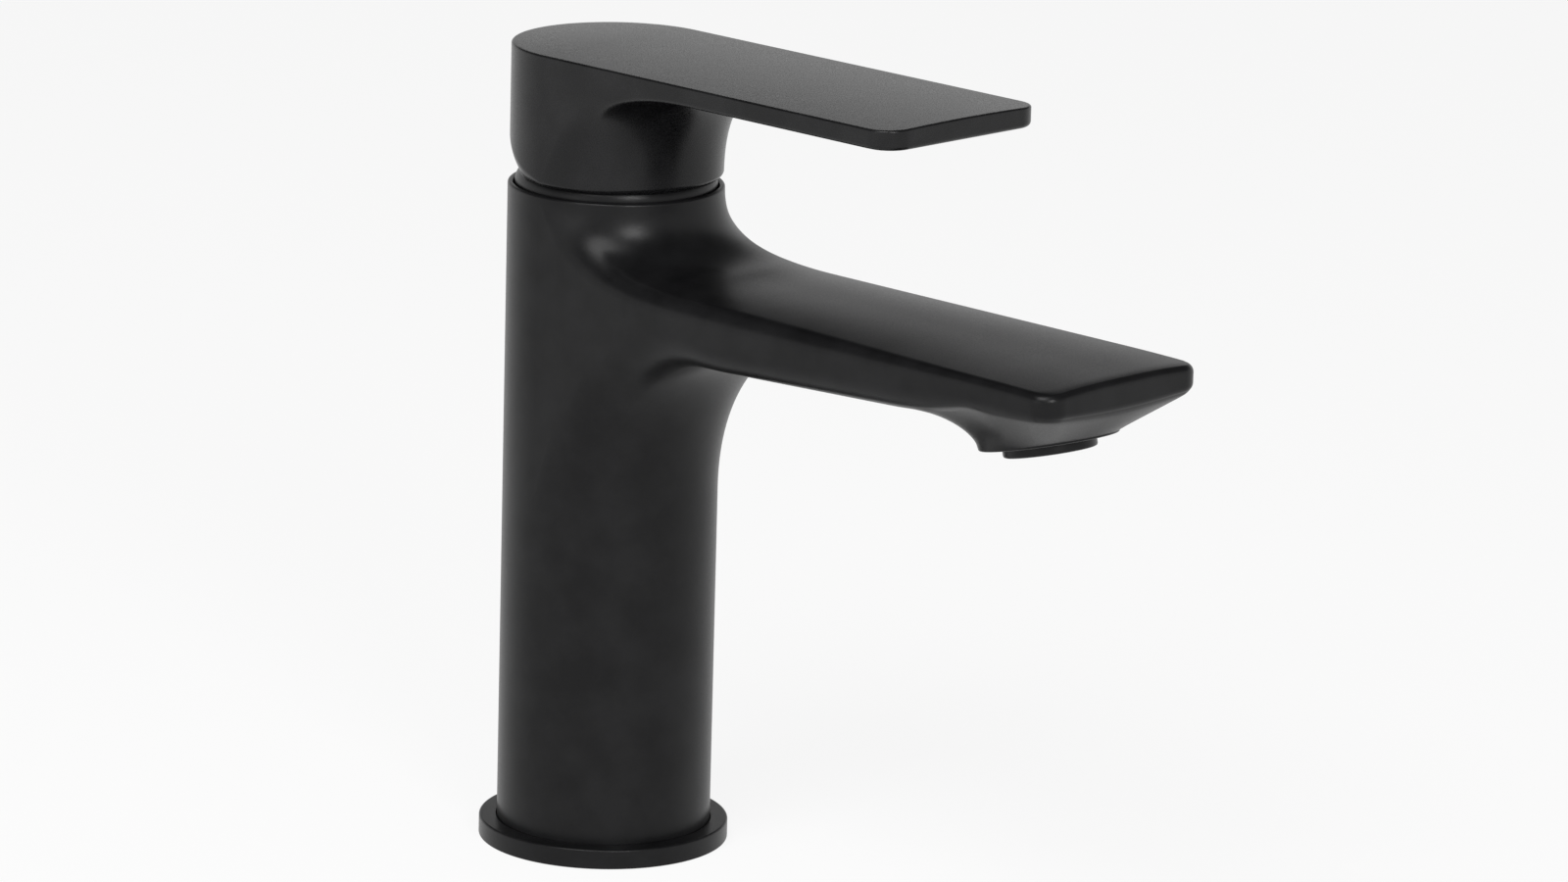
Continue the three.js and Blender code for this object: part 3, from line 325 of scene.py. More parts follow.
def close_up(mesh):
    """Merges corners that lie on each other and turns all faces outwards. Gives the number of open edges."""
    made = bmesh.new()
    made.from_mesh(mesh)
    bmesh.ops.remove_doubles(made, verts=made.verts, dist=WELD_DISTANCE)
    bmesh.ops.recalc_face_normals(made, faces=made.faces)
    open_edges = sum(1 for edge in made.edges if len(edge.link_faces) != 2)
    made.to_mesh(mesh)
    made.free()
    return open_edges


def weld(name, sheets):
    """One closed object from sheets of points. Each sheet is rows x columns x (x, out, z) in millimetres."""
    points, faces = [], []
    for sheet in sheets:
        rows, columns = sheet.shape[:2]
        first = len(points)
        points.extend((x * MM, -out * MM, z * MM) for x, out, z in sheet.reshape(-1, 3))
        for i in range(rows - 1):
            for j in range(columns - 1):
                a = first + i * columns + j
                faces.append((a, a + 1, a + columns + 1, a + columns))
    mesh = bpy.data.meshes.new(name)
    mesh.from_pydata(points, [], faces)
    open_edges = close_up(mesh)
    piece = bpy.data.objects.new(name, mesh)
    bpy.context.scene.collection.objects.link(piece)
    print(name, "has", len(mesh.polygons), "faces and", open_edges, "open edges")
    return piece


print("corners closer than", WELD_DISTANCE / MM, "mm are welded")

# %% [markdown]
# The formulas need a few small tools: tables of points, smooth steps, and the cubic curve that a hollow sweep
# follows from an upright wall to a level surface. A curve object could hold that curve, but here its height
# is wanted at thousands of given radii, and one line looks them all up.

# %% Points and smooth steps
def grid_of(columns, rows):
    """Two tables, with each column's value and each row's value at every point of a sheet."""
    return np.meshgrid(np.asarray(columns), np.asarray(rows))


def stack(x, out, z):
    """Points from their three measurements: aside, out from the column's axis towards the tip, and up."""
    return np.stack(np.broadcast_arrays(x, out, z), axis=-1)


def ease(value, start, end):
    """0 before start, 1 after end, and a smooth step between."""
    t = np.clip((value - start) / (end - start), 0, 1)
    return t * t * (3 - 2 * t)


def mix(a, b, share):
    """From a to b by a share between 0 and 1."""
    return a + (b - a) * share


print("a quarter of the way, the smooth step is at", ease(0.25, 0, 1))

# %% Sweeps and boxes
def sweep(corners, radius):
    """Height of a cubic sweep at a radius; its four corners are (radius, height)."""
    t = np.linspace(0, 1, 2001)[:, None]
    shares = np.hstack([(1 - t) ** 3, 3 * t * (1 - t) ** 2, 3 * t * t * (1 - t), t ** 3])
    curve = shares @ np.array(corners)
    return np.interp(radius, curve[:, 0], curve[:, 1])


def box_mm(node):
    """Lowest and highest corner of a CAD node in millimetres, as (x, out, z)."""
    low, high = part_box(node)
    return np.array([low[0], -high[1], low[2]]) / MM, np.array([high[0], -low[1], high[2]]) / MM


# Across the width, points lie as on a half circle, so they crowd at the flanks where edges are rounded.
TURNS = np.radians(np.linspace(-90, 90, 97))
TINY = 1e-9  # keeps divisions finite
print("points across a spout:", len(TURNS))

# %% [markdown]
# ## The plan outline
#
# Column, spout and lever are all drawn from one outline: a circle whose two flanks run on, tangent and
# straight, to a front edge with small rounded corners. A curve object could draw it, but the roundings below
# need to ask for the outline's nearest point, so one small class holds it and answers that.

# %% Outline of the spout and of the lever
class Outline:
    """A plan outline in millimetres: a round back, straight flanks and a front edge with round corners."""

    def __init__(self, radius, reach, corner):
        self.radius, self.reach, self.corner = radius, reach, corner
        self.straight = reach - corner
        self.across = radius * np.sin(TURNS)

    def arc(self, x):
        """How far out the circle round the column's axis lies."""
        return np.sqrt(np.maximum(self.radius ** 2 - x ** 2, 0))

    def front(self, x):
        """How far out the front edge lies."""
        past = np.maximum(np.abs(x) - (self.radius - self.corner), 0)
        return self.straight + np.sqrt(np.maximum(self.corner ** 2 - past ** 2, 0))

    def nearest(self, x, out):
        """Nearest point of the outline, the direction from it into the plan, and the distance."""
        side = np.sign(x)
        past, ahead = np.abs(x) - (self.radius - self.corner), out - self.straight
        from_corner = np.maximum(np.hypot(past, ahead), TINY)
        from_axis = np.maximum(np.hypot(x, out), TINY)
        at_flank = self.radius - np.abs(x) <= self.reach - out
        cases = [out < 0, (past > 0) & (ahead > 0), at_flank]
        in_x = np.select(cases, [-x / from_axis, -side * past / from_corner, -side], 0)
        in_out = np.select(cases, [-out / from_axis, -ahead / from_corner, 0], -1)
        gap = np.select(cases, [self.radius - from_axis, self.corner - from_corner, self.radius - np.abs(x)],
                        self.reach - out)
        gap = np.maximum(gap, 0)
        return x - in_x * gap, out - in_out * gap, in_x, in_out, gap


body_low, body_high = box_mm("faucet_body")
_, lever_high = box_mm("lever_handle")
spout = Outline(radius=body_high[0], reach=body_high[1], corner=5)
lever = Outline(radius=lever_high[0], reach=lever_high[1], corner=6)
print("spout reaches", round(spout.reach, 1), "mm, lever", round(lever.reach, 1), "mm")

# %% [markdown]
# ## Rounded edges of any angle
#
# Where a surface meets the upright flank, the casting's edge is rounded: widely where the spout grows out of
# the column, and finely at the nose. A bevel modifier would need one width for all of it. Here each point
# near an edge is moved onto a circle that touches both the surface and the flank, whatever their angle, and
# starts at the same distance from the edge on both. Where spout and column become one surface the angle goes
# to nothing and the circle grows, so the edge fades away. Half of the circle belongs to the surface, the
# other half to the flank.

# %% Circles between a surface and the flank
PROBE = 0.02  # mm; how far in from the outline the surface's climb is felt
LEAST_HALF_ANGLE = 0.005  # radians; keeps the circle finite where surface and flank are one


def corner_shape(outline, height_at, width, up, x, out):
    """Nearest outline points, the surface's height and climb there, the circle's half angle and radius."""
    edge_x, edge_out, in_x, in_out, gap = outline.nearest(x, out)
    crease = height_at(edge_x, edge_out)
    climb = np.arctan(up * (height_at(edge_x + in_x * PROBE, edge_out + in_out * PROBE) - crease) / PROBE)
    half = np.maximum((math.pi / 2 - climb) / 2, LEAST_HALF_ANGLE)
    return edge_x, edge_out, in_x, in_out, gap, crease, climb, half, width / np.tan(half)


found = spout.nearest(spout.radius - 2.0, 60.0)
print("2 mm inside the flank, the nearest outline point is", np.round(found[:2], 1))

# %% Both halves of a rounding
def round_sheet(outline, height_at, width, up, x, out):
    """A surface over plan points. Near the outline they curve down to the flank (up = 1) or up to it (-1)."""
    edge_x, edge_out, in_x, in_out, gap, _, climb, half, size = corner_shape(
        outline, height_at, width, up, x, out)
    reached = gap / np.cos(climb) / np.maximum(width, TINY)
    turn = half * (1 - np.clip(reached, 0, 1))
    level = (width - size * np.sin(turn)) * np.cos(climb)
    sunk = size * (1 - np.cos(turn))
    inward = level + sunk * np.sin(climb)
    height = height_at(edge_x + in_x * level, edge_out + in_out * level) - up * sunk * np.cos(climb)
    near = reached < 1
    return stack(np.where(near, edge_x + in_x * inward, x), np.where(near, edge_out + in_out * inward, out),
                 np.where(near, height, height_at(x, out)))


def round_flank(outline, height_at, width, up, edge, border, rows=9):
    """The flank's half of the same rounding: rows from a sheet's border to where the flank is straight."""
    edge_x, edge_out, in_x, in_out, _, crease, _, half, size = corner_shape(
        outline, height_at, width, up, edge[:, 0], edge[:, 1])
    turn = half * np.linspace(1, 0, rows)[:, None]
    inward = size * (1 - np.cos(turn))
    height = crease - up * (width - size * np.sin(turn))
    shape = stack(edge_x + in_x * inward, edge_out + in_out * inward, height)
    return shape + (border - shape[0]) * np.linspace(1, 0, rows)[:, None, None]


def side_wall(low_rows, high_rows, rows=9):
    """An upright strip from the lower rounding's rows over the straight flank to the upper rounding's."""
    share = np.linspace(0, 1, rows)[1:-1, None, None]
    return np.concatenate([low_rows, mix(low_rows[-1], high_rows[0], share), high_rows])


square = round_sheet(spout, lambda x, out: 0 * x, 1.0, 1, np.array([spout.radius]), np.array([60.0]))
print("a rounding of 1 mm takes", np.round(spout.radius - square[0, 0], 2), "mm off a square corner")

# %% [markdown]
# ## Heights of the body
#
# The rim of the column is the highest point of the casting. Everything else hangs from it: the gently crowned
# top of the spout, the start of both sweeps, and the outlet's tilted boss. Each measurement gets a name, so
# that a change in one place moves all that depends on it.

# %% Named heights and sweeps
R = spout.radius
RIM = body_high[2]
FOOT = body_low[2]
SPOUT_TOP = RIM - 15.15
UNDERSIDE = SPOUT_TOP - 13.3
CLIMB = 0.047  # the underside rises towards the tip

# A sweep starts at the column's wall and ends level. Its inner corners are shares of its rise and its run.
TOP_RISE, TOP_RUN = 14.5, 26.6
TOP_SWEEP = [(R, SPOUT_TOP + TOP_RISE), (R, SPOUT_TOP + TOP_RISE * 0.115), (R + TOP_RUN * 0.395, SPOUT_TOP),
             (R + TOP_RUN, SPOUT_TOP)]
LOW_RISE, LOW_RUN = 36.2, 27.2
LOW_SWEEP = [(R, UNDERSIDE - LOW_RISE), (R, UNDERSIDE - LOW_RISE * 0.425),
             (R + LOW_RUN * 0.325, UNDERSIDE - LOW_RUN * 0.675 * CLIMB), (R + LOW_RUN, UNDERSIDE)]
print("spout top at", round(SPOUT_TOP, 2), "mm, underside at", round(UNDERSIDE, 2), "mm")

# %% Named crown, roundings and nose
LIP_DEPTH, LIP_ARCH, LIP_CLIMB = 5.3, 0.9, 0.02  # flat band round the nose, deeper in the middle of the front
LIFT_FROM, LIFT_TO = spout.reach - 45.4, spout.reach - 19.4  # the flanks lift to that band between these
CROWN, CROWN_SHAPE = 1.9, 2.6  # how much higher the top is along its middle, and how flat it is there
CROWN_AT_NOSE = 0.45  # the share of it that is left at the nose
CROWN_GROWS, CROWN_SINKS = (R, R * 1.75), (R * 3, spout.reach)
NOSE_DROOP, DROOP_LENGTH = 0.3, 20  # how far the top bends down towards the nose, and over what length
CREST_ROOT, CREST_ROUND = 4.2, 1.7  # rounding of the top edges at the column, and further out
CREST_NARROWS, CREST_FINE = (R * 0.55, R * 1.2), (R * 2.5, R * 6)
BELLY_ROOT, BELLY_ROUND, NOSE_ROUND = 8.2, 4.8, 1.6  # the same below, and at the nose
BELLY_NARROWS = (R * 1.1, R * 2.4)
FADE = R / 4  # up to here from the column's axis, the roundings grow from nothing
BOSS_OUT, BOSS_RADIUS = spout.reach - 20, 14.1  # how far out the outlet's boss is, and its radius
print("the flanks lift between", round(LIFT_FROM, 1), "and", round(LIFT_TO, 1), "mm out")

# %% [markdown]
# With these names, each surface is a function that gives its height over any point of the plan, and each
# rounding one that gives its width along the flank. Smooth steps lead from one value to the next, so that no
# highlight breaks.

# %% Surfaces of the spout
def underside(x, out):
    """The spout's underside. Along the flanks it lifts early to the nose's flat band, in the middle late."""
    across = np.minimum(np.abs(x) / R, 1)
    distance = np.hypot(x, out)
    plain = sweep(LOW_SWEEP, distance) + CLIMB * np.maximum(distance - LOW_SWEEP[3][0], 0)
    lip = SPOUT_TOP - LIP_DEPTH - LIP_ARCH * (1 - across ** 2) + LIP_CLIMB * (out - spout.reach)
    late = ease(out, BOSS_OUT - BOSS_RADIUS, BOSS_OUT + BOSS_RADIUS)
    return mix(plain, lip, mix(late, ease(out, LIFT_FROM, LIFT_TO), across ** 5))


def spout_top(x, out):
    """The spout's top: a slight crown from flank to flank, from nothing at the column's wall."""
    crown = CROWN * (1 - np.minimum(np.abs(x) / R, 1) ** CROWN_SHAPE) * ease(np.hypot(x, out), *CROWN_GROWS)
    crown = crown * mix(1, CROWN_AT_NOSE, ease(out, *CROWN_SINKS))
    droop = NOSE_DROOP * np.clip(1 - (spout.reach - out) / DROOP_LENGTH, 0, 1) ** 2
    return sweep(TOP_SWEEP, np.hypot(x, out)) + crown - droop


halfway = spout.reach / 2
print("crown halfway out:", np.round(spout_top(0, halfway) - sweep(TOP_SWEEP, halfway), 2), "mm")

# %% Roundings of the spout
def crest_round(out):
    """How far the rounding of the spout's top edges reaches: wide at the column, fine further out."""
    at_column = CREST_ROOT * np.clip(out / FADE, 0, 1)
    along = mix(CREST_ROOT, CREST_ROUND * 2, ease(out, *CREST_NARROWS))
    return np.minimum(at_column, mix(along, CREST_ROUND, ease(out, *CREST_FINE)))


def belly_round(out):
    """How far the rounding under the flanks reaches: wide at the column, fine at the nose."""
    at_column = BELLY_ROOT * np.clip(out / FADE, 0, 1)
    along = mix(BELLY_ROOT, BELLY_ROUND, ease(out, *BELLY_NARROWS))
    return np.minimum(at_column, mix(along, NOSE_ROUND, ease(out, LIFT_FROM, LIFT_TO)))


print("at the column, the roundings reach", crest_round(R).round(1), "and", belly_round(R).round(1), "mm")

# %% [markdown]
# ## Spout: top and belly
#
# The top sheet runs from the column's front to the nose, the belly sheet from the column to just behind the
# outlet. Both use the same stations along the flank, so the flank is a simple ladder between their borders.
# Even stations would be simpler, but the sweeps and the nose's edge bend fast and need them closer together.

# %% Sheets of the spout
DENSE_TO = 42  # mm from the axis; up to here the stations crowd towards the column
NOSE_FROM = 93.0  # from here on, the underside is drawn round the boss
near_column = DENSE_TO * np.linspace(0, 1, 32) ** 2
to_nose = np.linspace(DENSE_TO, NOSE_FROM, 26)[1:]
round_nose = np.linspace(NOSE_FROM, spout.straight - 1.1, 28)[1:]
at_tip = spout.straight - np.array([0.8, 0.6, 0.42, 0.27, 0.15, 0.06, 0])  # finer where the edge is rounded
stations = np.concatenate([near_column, to_nose, round_nose, at_tip])
belly_stations = stations[stations <= NOSE_FROM]

x, along = grid_of(spout.across, stations / spout.straight)
out = mix(spout.arc(x), spout.front(x), along)
top_sheet = round_sheet(spout, spout_top, crest_round(out), 1, x, out)
x, along = grid_of(spout.across, belly_stations / NOSE_FROM)
out = mix(spout.arc(x), NOSE_FROM, along)
belly_sheet = round_sheet(spout, underside, belly_round(out), -1, x, out)
# The first rows lie exactly on the column's wall, so that they weld to it.
top_sheet[0] = stack(spout.across, spout.arc(spout.across), TOP_SWEEP[0][1])
belly_sheet[0] = stack(spout.across, spout.arc(spout.across), LOW_SWEEP[0][1])
print("stations along the flank:", len(stations), "of them on the belly:", len(belly_stations))

# %% [markdown]
# ## Nose and outlet flare
#
# Under the tip, the metal is drawn down to a round boss that leans away from the column. A boolean union with
# a fillet would leave long thin faces there. So rays run from the boss's edge out to the nose's outline, and
# along each ray the height is that of a hollow flare or of the plain underside, whichever is lower.

# %% Rings and rays round the tilted jet
TILT = math.radians(13.8)  # the jet leans away from the column
BOSS_HEIGHT, BOSS_LIP = SPOUT_TOP - 16.1, 0.4  # middle of the boss's face, and the rounding of its edge
FLARE_WIDTH, CORNER_FLARE = 13.5, 17  # longest flare behind the boss, and towards the nose's corners
FLARE_OVER = 0.3  # how far a flare runs past its end


def boss_ring(radius, rise, bearing):
    """A circle round the tilted jet, at a height above the boss's face."""
    ahead = radius * np.sin(bearing)
    return stack(radius * np.cos(bearing), BOSS_OUT + ahead * math.cos(TILT) - rise * math.sin(TILT),
                 BOSS_HEIGHT + ahead * math.sin(TILT) + rise * math.cos(TILT))


def bearing_of(x, out):
    """Direction of a plan point as seen from the jet's axis."""
    return np.arctan2((out - BOSS_OUT + BOSS_LIP * math.sin(TILT)) / math.cos(TILT), x)


def flare_length(bearing):
    """From the boss's edge as far as the nose's outline with its round corners, or the longest flare."""
    aside, ahead = np.abs(np.cos(bearing)), np.sin(bearing)
    to_flank = R / np.maximum(aside, 1e-2)
    to_front = (spout.reach - BOSS_OUT) / np.maximum(ahead, 1e-2)
    centre_x, centre_out = R - spout.corner, spout.straight - BOSS_OUT
    along = aside * centre_x + ahead * centre_out
    rest = along ** 2 + spout.corner ** 2 - centre_x ** 2 - centre_out ** 2
    to_corner = along + np.sqrt(np.maximum(rest, 0))
    at_corner = (to_corner * aside > centre_x) & (to_corner * ahead > centre_out)
    to_outline = np.where(at_corner, to_corner, np.minimum(to_flank, to_front))
    longest = BOSS_RADIUS + mix(FLARE_WIDTH, CORNER_FLARE, ease(ahead, -0.3, 0.5))
    return np.minimum(to_outline, longest) - BOSS_RADIUS + FLARE_OVER


print("straight ahead, the flare is", flare_length(math.pi / 2).round(2), "mm long")

# %% Height of the nose round the boss
FLARE_HOLLOW = 1.6  # how round the flare is: 1 is straight, 2 a quarter circle
FLARE_ABOVE = 0.15  # how far above the underside it aims


def flare_rise(share, bearing):
    """A round hollow behind the boss, and a straight draw in front of it."""
    behind = 1 - ease(np.sin(bearing), -0.5, 0.5)
    return mix(share, (1 - (1 - share) ** FLARE_HOLLOW) ** (1 / FLARE_HOLLOW), behind)


def nose_height(x, out):
    """The underside of the nose: the flare or the plain underside, whichever is lower."""
    bearing = bearing_of(x, out)
    edge = boss_ring(BOSS_RADIUS, BOSS_LIP, bearing)
    length = flare_length(bearing)
    end_x, end_out = edge[..., 0] + length * np.cos(bearing), edge[..., 1] + length * np.sin(bearing)
    end = underside(end_x, end_out) + FLARE_ABOVE
    gone = np.clip(np.hypot(x - edge[..., 0], out - edge[..., 1]) / length, 0, 1)
    flare = mix(edge[..., 2], end, flare_rise(gone, bearing))
    return np.where(gone < 1, np.minimum(flare, underside(x, out)), underside(x, out))


print("nose at the boss:", np.round(nose_height(np.array([0.0]), np.array([BOSS_OUT + BOSS_RADIUS + 1])), 2))

# %% Sheet between the boss and the nose's outline
flank = np.stack([np.full_like(stations, R), stations], axis=1)[stations >= NOSE_FROM]
tip = np.stack([spout.across[::-1], spout.front(spout.across[::-1])], axis=1)
back_line = np.stack([spout.across, np.full_like(spout.across, NOSE_FROM)], axis=1)
around = np.concatenate([back_line[:-1], flank[:-1], tip[:-1], flank[::-1] * (-1, 1)])

bearings = bearing_of(around[:, 0], around[:, 1])
edge = boss_ring(BOSS_RADIUS, BOSS_LIP, bearings)
ray = np.hypot(*(around - edge[:, :2]).T)
# Along a ray, points are spread out first and crowd over the last millimetre, where the edge is rounded.
EDGE_BAND = 1.7  # mm before the outline, where the spread ends
SPREAD = 1.2  # over 1, the points lie a little closer at the boss
last_mm = np.array([1.3, 0.95, 0.7, 0.5, 0.33, 0.2, 0.1, 0.03, 0])[:, None]
spread = np.linspace(0, 1, 22)[:-1, None] ** SPREAD * (1 - EDGE_BAND / ray)
spread = np.concatenate([spread, 1 - last_mm / ray])
x, out = mix(edge[:, 0], around[:, 0], spread), mix(edge[:, 1], around[:, 1], spread)
nose_sheet = round_sheet(spout, nose_height, belly_round(out), -1, x, out)
nose_sheet[0] = edge
nose_sheet[-1, :len(back_line)] = belly_sheet[-1]
print("rays round the boss:", len(bearings))

# %% Boss and aerator socket
SOCKET_RADIUS, SOCKET_DEPTH, SOCKET_BEVEL = 9.75, 9, 0.15
lip_turns = np.linspace(0, math.pi / 2, 6)
lip_rings = [boss_ring(BOSS_RADIUS - BOSS_LIP * (1 - math.sin(a)), BOSS_LIP * (1 - math.cos(a)), bearings)
             for a in lip_turns]
socket = [boss_ring(r, rise, bearings) for r, rise in (
    (0, SOCKET_DEPTH), (SOCKET_RADIUS, SOCKET_DEPTH), (SOCKET_RADIUS, SOCKET_BEVEL),
    (SOCKET_RADIUS + SOCKET_BEVEL, 0))]
boss_sheet = np.array([*socket, *lip_rings])
print("boss and socket are", len(boss_sheet), "rings of points")

# %% [markdown]
# ## Flanks, front face and column
#
# The flanks and the front face are one upright strip that hangs between the top sheet's border and the
# border underneath. The column's back wall takes its rows from the end of that strip, so that the two meet.
# A ready-made cylinder would have its rows elsewhere, and leave a seam in the shine.

# %% Upright strip
def border(sheet):
    """The outer points of a sheet: along one flank, across the front and back along the other flank."""
    return np.concatenate([sheet[:, -1], sheet[-1, -2:0:-1], sheet[::-1, 0]])


def plan_edge(outline, stations):
    """The same points on the outline itself, as (x, out)."""
    flank = np.stack([np.full_like(stations, outline.radius), stations], axis=1)
    front = np.stack([outline.across, outline.front(outline.across)], axis=1)[-2:0:-1]
    return np.concatenate([flank, front, flank[::-1] * (-1, 1)])


nose_edge = nose_sheet[-1, len(back_line) - 1:]
belly_side = belly_sheet[:-1]
under_border = np.concatenate([belly_side[:, -1], nose_edge, belly_side[::-1, 0]])
spout_edge = plan_edge(spout, stations)
low_rows = round_flank(spout, nose_height, belly_round(spout_edge[:, 1]), -1, spout_edge, under_border)
high_rows = round_flank(spout, spout_top, crest_round(spout_edge[:, 1]), 1, spout_edge, border(top_sheet))
strip = side_wall(low_rows, high_rows[::-1], rows=12)
print("strip has", strip.shape[0], "rows of", strip.shape[1], "points")

# %% [markdown]
# The column is hollow. Above is the chamber for the cartridge, with a ledge where its nut ends, and below is
# the open foot for the hoses. Both are drawn as profiles and turned, as they are on the real casting.

# %% Walls and turned profiles
def walls(radius, heights, behind):
    """Half of a round wall, in front of the axis or behind it."""
    x, z = grid_of(radius * np.sin(TURNS), heights)
    return stack(x, radius * np.cos(TURNS) * (-1 if behind else 1), z)


def lathe(profile, turns=193):
    """A full turn of a profile of (radius, height) corners round the column's axis."""
    angle = np.linspace(-math.pi, math.pi, turns)
    radius, height = np.array(profile, float).T
    return stack(radius[:, None] * np.sin(angle), radius[:, None] * np.cos(angle), height[:, None])


def soft_corner(radius, height, size, outwards=1, upwards=1, steps=5):
    """Corners of a rounded edge in a profile, from the wall round to the flat."""
    turn = np.linspace(0, math.pi / 2, steps)
    return [(radius - outwards * size * (1 - math.cos(a)), height - upwards * size * (1 - math.sin(a)))
            for a in turn]


print("a corner of 1 mm has", len(soft_corner(R, RIM, 1)), "points")

# %% Column and its bores
RIM_ROUND = 0.5
foot_rows = np.linspace(FOOT, LOW_SWEEP[0][1], 16)
rim_rows = np.linspace(TOP_SWEEP[0][1], RIM - RIM_ROUND, 3)
back_rows = np.unique(np.round(np.concatenate([foot_rows, strip[:, 0, 2], rim_rows]), 4))
column = [walls(R, foot_rows, False), walls(R, rim_rows, False), walls(R, back_rows, True)]
SHOULDER, NUT_END, SEAT, CEILING = RIM - 3.3, 128.8, 106.1, 84.1  # heights from the rim down
MOUTH_BORE, RING_BORE, NUT_BORE, CARTRIDGE_BORE, FOOT_BORE = 21.6, 21.36, 19.2, 17.7, 18
MOUTH_BEVEL = 0.2
chamber = lathe([
    *soft_corner(R, RIM, RIM_ROUND), (MOUTH_BORE, RIM), (RING_BORE, RIM - MOUTH_BEVEL), (RING_BORE, SHOULDER),
    (NUT_BORE, SHOULDER), (NUT_BORE, NUT_END), (CARTRIDGE_BORE, NUT_END), (CARTRIDGE_BORE, SEAT), (0, SEAT),
])
hollow = lathe([(R, FOOT), (FOOT_BORE, FOOT), (FOOT_BORE, CEILING), (0, CEILING)])
body = weld("spout_and_column", [
    top_sheet, belly_sheet, nose_sheet, boss_sheet, strip, *column, chamber, hollow])

# %% [markdown]
# ## Waterways and sockets
#
# Water comes up through two hoses, and leaves the cartridge through a third port. From below one sees the
# hoses' sockets and the fixing stud's, from above the three ports and two holes for the cartridge's pegs.
# Drilling is what booleans are good at: small round holes in a flat wall, far from any soft highlight. The
# passage from the third port to the spout can't be seen from anywhere, so it isn't cut here.

# %% Cut shapes out of a piece
def keep_result(piece):
    """Turns what the modifiers show into the piece's own mesh."""
    shown = piece.evaluated_get(bpy.context.evaluated_depsgraph_get())
    mesh = bpy.data.meshes.new_from_object(shown)
    piece.modifiers.clear()
    piece.data = mesh


def drill(piece, cutters):
    """Cuts closed shapes out of a piece, one after another."""
    for cutter in cutters:
        cut = piece.modifiers.new("cut", "BOOLEAN")
        cut.operation, cut.solver, cut.object = "DIFFERENCE", "EXACT", cutter
        keep_result(piece)
        bpy.data.objects.remove(cutter)
    print(piece.name, "drilled, with", close_up(piece.data), "open edges")


print("ready to drill", body.name)

# %% Bits
BIT_SIDES = 47  # odd, so that a bit's corners keep off the corners that it cuts


def as_bit(made):
    """Turns a closed bmesh into an object to cut with."""
    mesh = bpy.data.meshes.new("bit")
    made.to_mesh(mesh)
    made.free()
    bit = bpy.data.objects.new("bit", mesh)
    bpy.context.scene.collection.objects.link(bit)
    return bit


def drill_bit(radius, low, high, x=0.0, out=0.0):
    """A closed upright cylinder, to cut with."""
    made = bmesh.new()
    bmesh.ops.create_cone(made, cap_ends=True, segments=BIT_SIDES, radius1=radius * MM, radius2=radius * MM,
                          depth=(high - low) * MM)
    bmesh.ops.translate(made, verts=made.verts, vec=(x * MM, -out * MM, (low + high) / 2 * MM))
    return as_bit(made)


print("bits have", BIT_SIDES, "sides")

# %% Drill the seat
STUD_SOCKET, HOSE_SOCKET, PORT, PEG_HOLE = 4, 4.5, 3, 1.8  # radii
STUD_SOCKET_TOP, HOSE_SOCKET_TOP, OUTLET_BOTTOM = CEILING + 6, CEILING + 8, CEILING + 11
PEG_DEPTH = 2.8
STUD_OUT, OUTLET_OUT = -11.5, -6.5
INLET_SIDE, INLET_OUT = 8, 4.5
PEG_SIDE, PEG_OUT = 11.5, -6
PAST = 1  # how far a bit runs past the face that it opens
bits = [drill_bit(STUD_SOCKET, CEILING - PAST, STUD_SOCKET_TOP, 0, STUD_OUT),
        drill_bit(PORT, OUTLET_BOTTOM, SEAT + PAST, 0, OUTLET_OUT)]
for side in (-1, 1):
    inlet = side * INLET_SIDE, INLET_OUT
    bits.append(drill_bit(HOSE_SOCKET, CEILING - PAST, HOSE_SOCKET_TOP, *inlet))
    bits.append(drill_bit(PORT, HOSE_SOCKET_TOP - PAST, SEAT + PAST, *inlet))
for side in (-1, 1):
    bits.append(drill_bit(PEG_HOLE, SEAT - PEG_DEPTH, SEAT + PAST, side * PEG_SIDE, PEG_OUT))
drill(body, bits)

# %% [markdown]
# ## Dressing a piece
#
# A finished piece is shaded and gets its material. It is hung on the empty of the moving body that it rides
# on, and the CAD node that it replaces is hidden. Smooth shading alone would smear the flat faces beside a
# corner. So edges from a certain angle on stay sharp, and the normals lean towards the broad faces.

# %% Dress the body
SHARP_FROM = 32  # degrees between two faces


def dress(piece, body_name, node, material):
    """Shades a piece, gives it its finish, hangs it on the body it rides on and hides the CAD node it
    replaces.
    """
    piece.data.shade_smooth()
    piece.data.set_sharp_from_angle(angle=math.radians(SHARP_FROM))
    piece.modifiers.new("broad_faces_rule", "WEIGHTED_NORMAL").keep_sharp = True
    piece.data.materials.clear()
    piece.data.materials.append(material)
    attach(piece, body_name)
    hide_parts(node)


dress(body, "faucet", "faucet_body", coat_on_brass)
print("body has", len(body.data.polygons), "faces")

# %% [markdown]
# ## Base ring and cover ring
#
# Two turned brass rings close the column. The base ring spreads the load on the deck. Its top edge has a
# small rounding that draws one thin light line. The cover ring is a thin dome that hides the cartridge's nut.
# Both are surfaces of revolution, so a closed profile on a lathe is the natural way to make them. The rings'
# corners are real little roundings, because a perfectly sharp edge never catches any light.

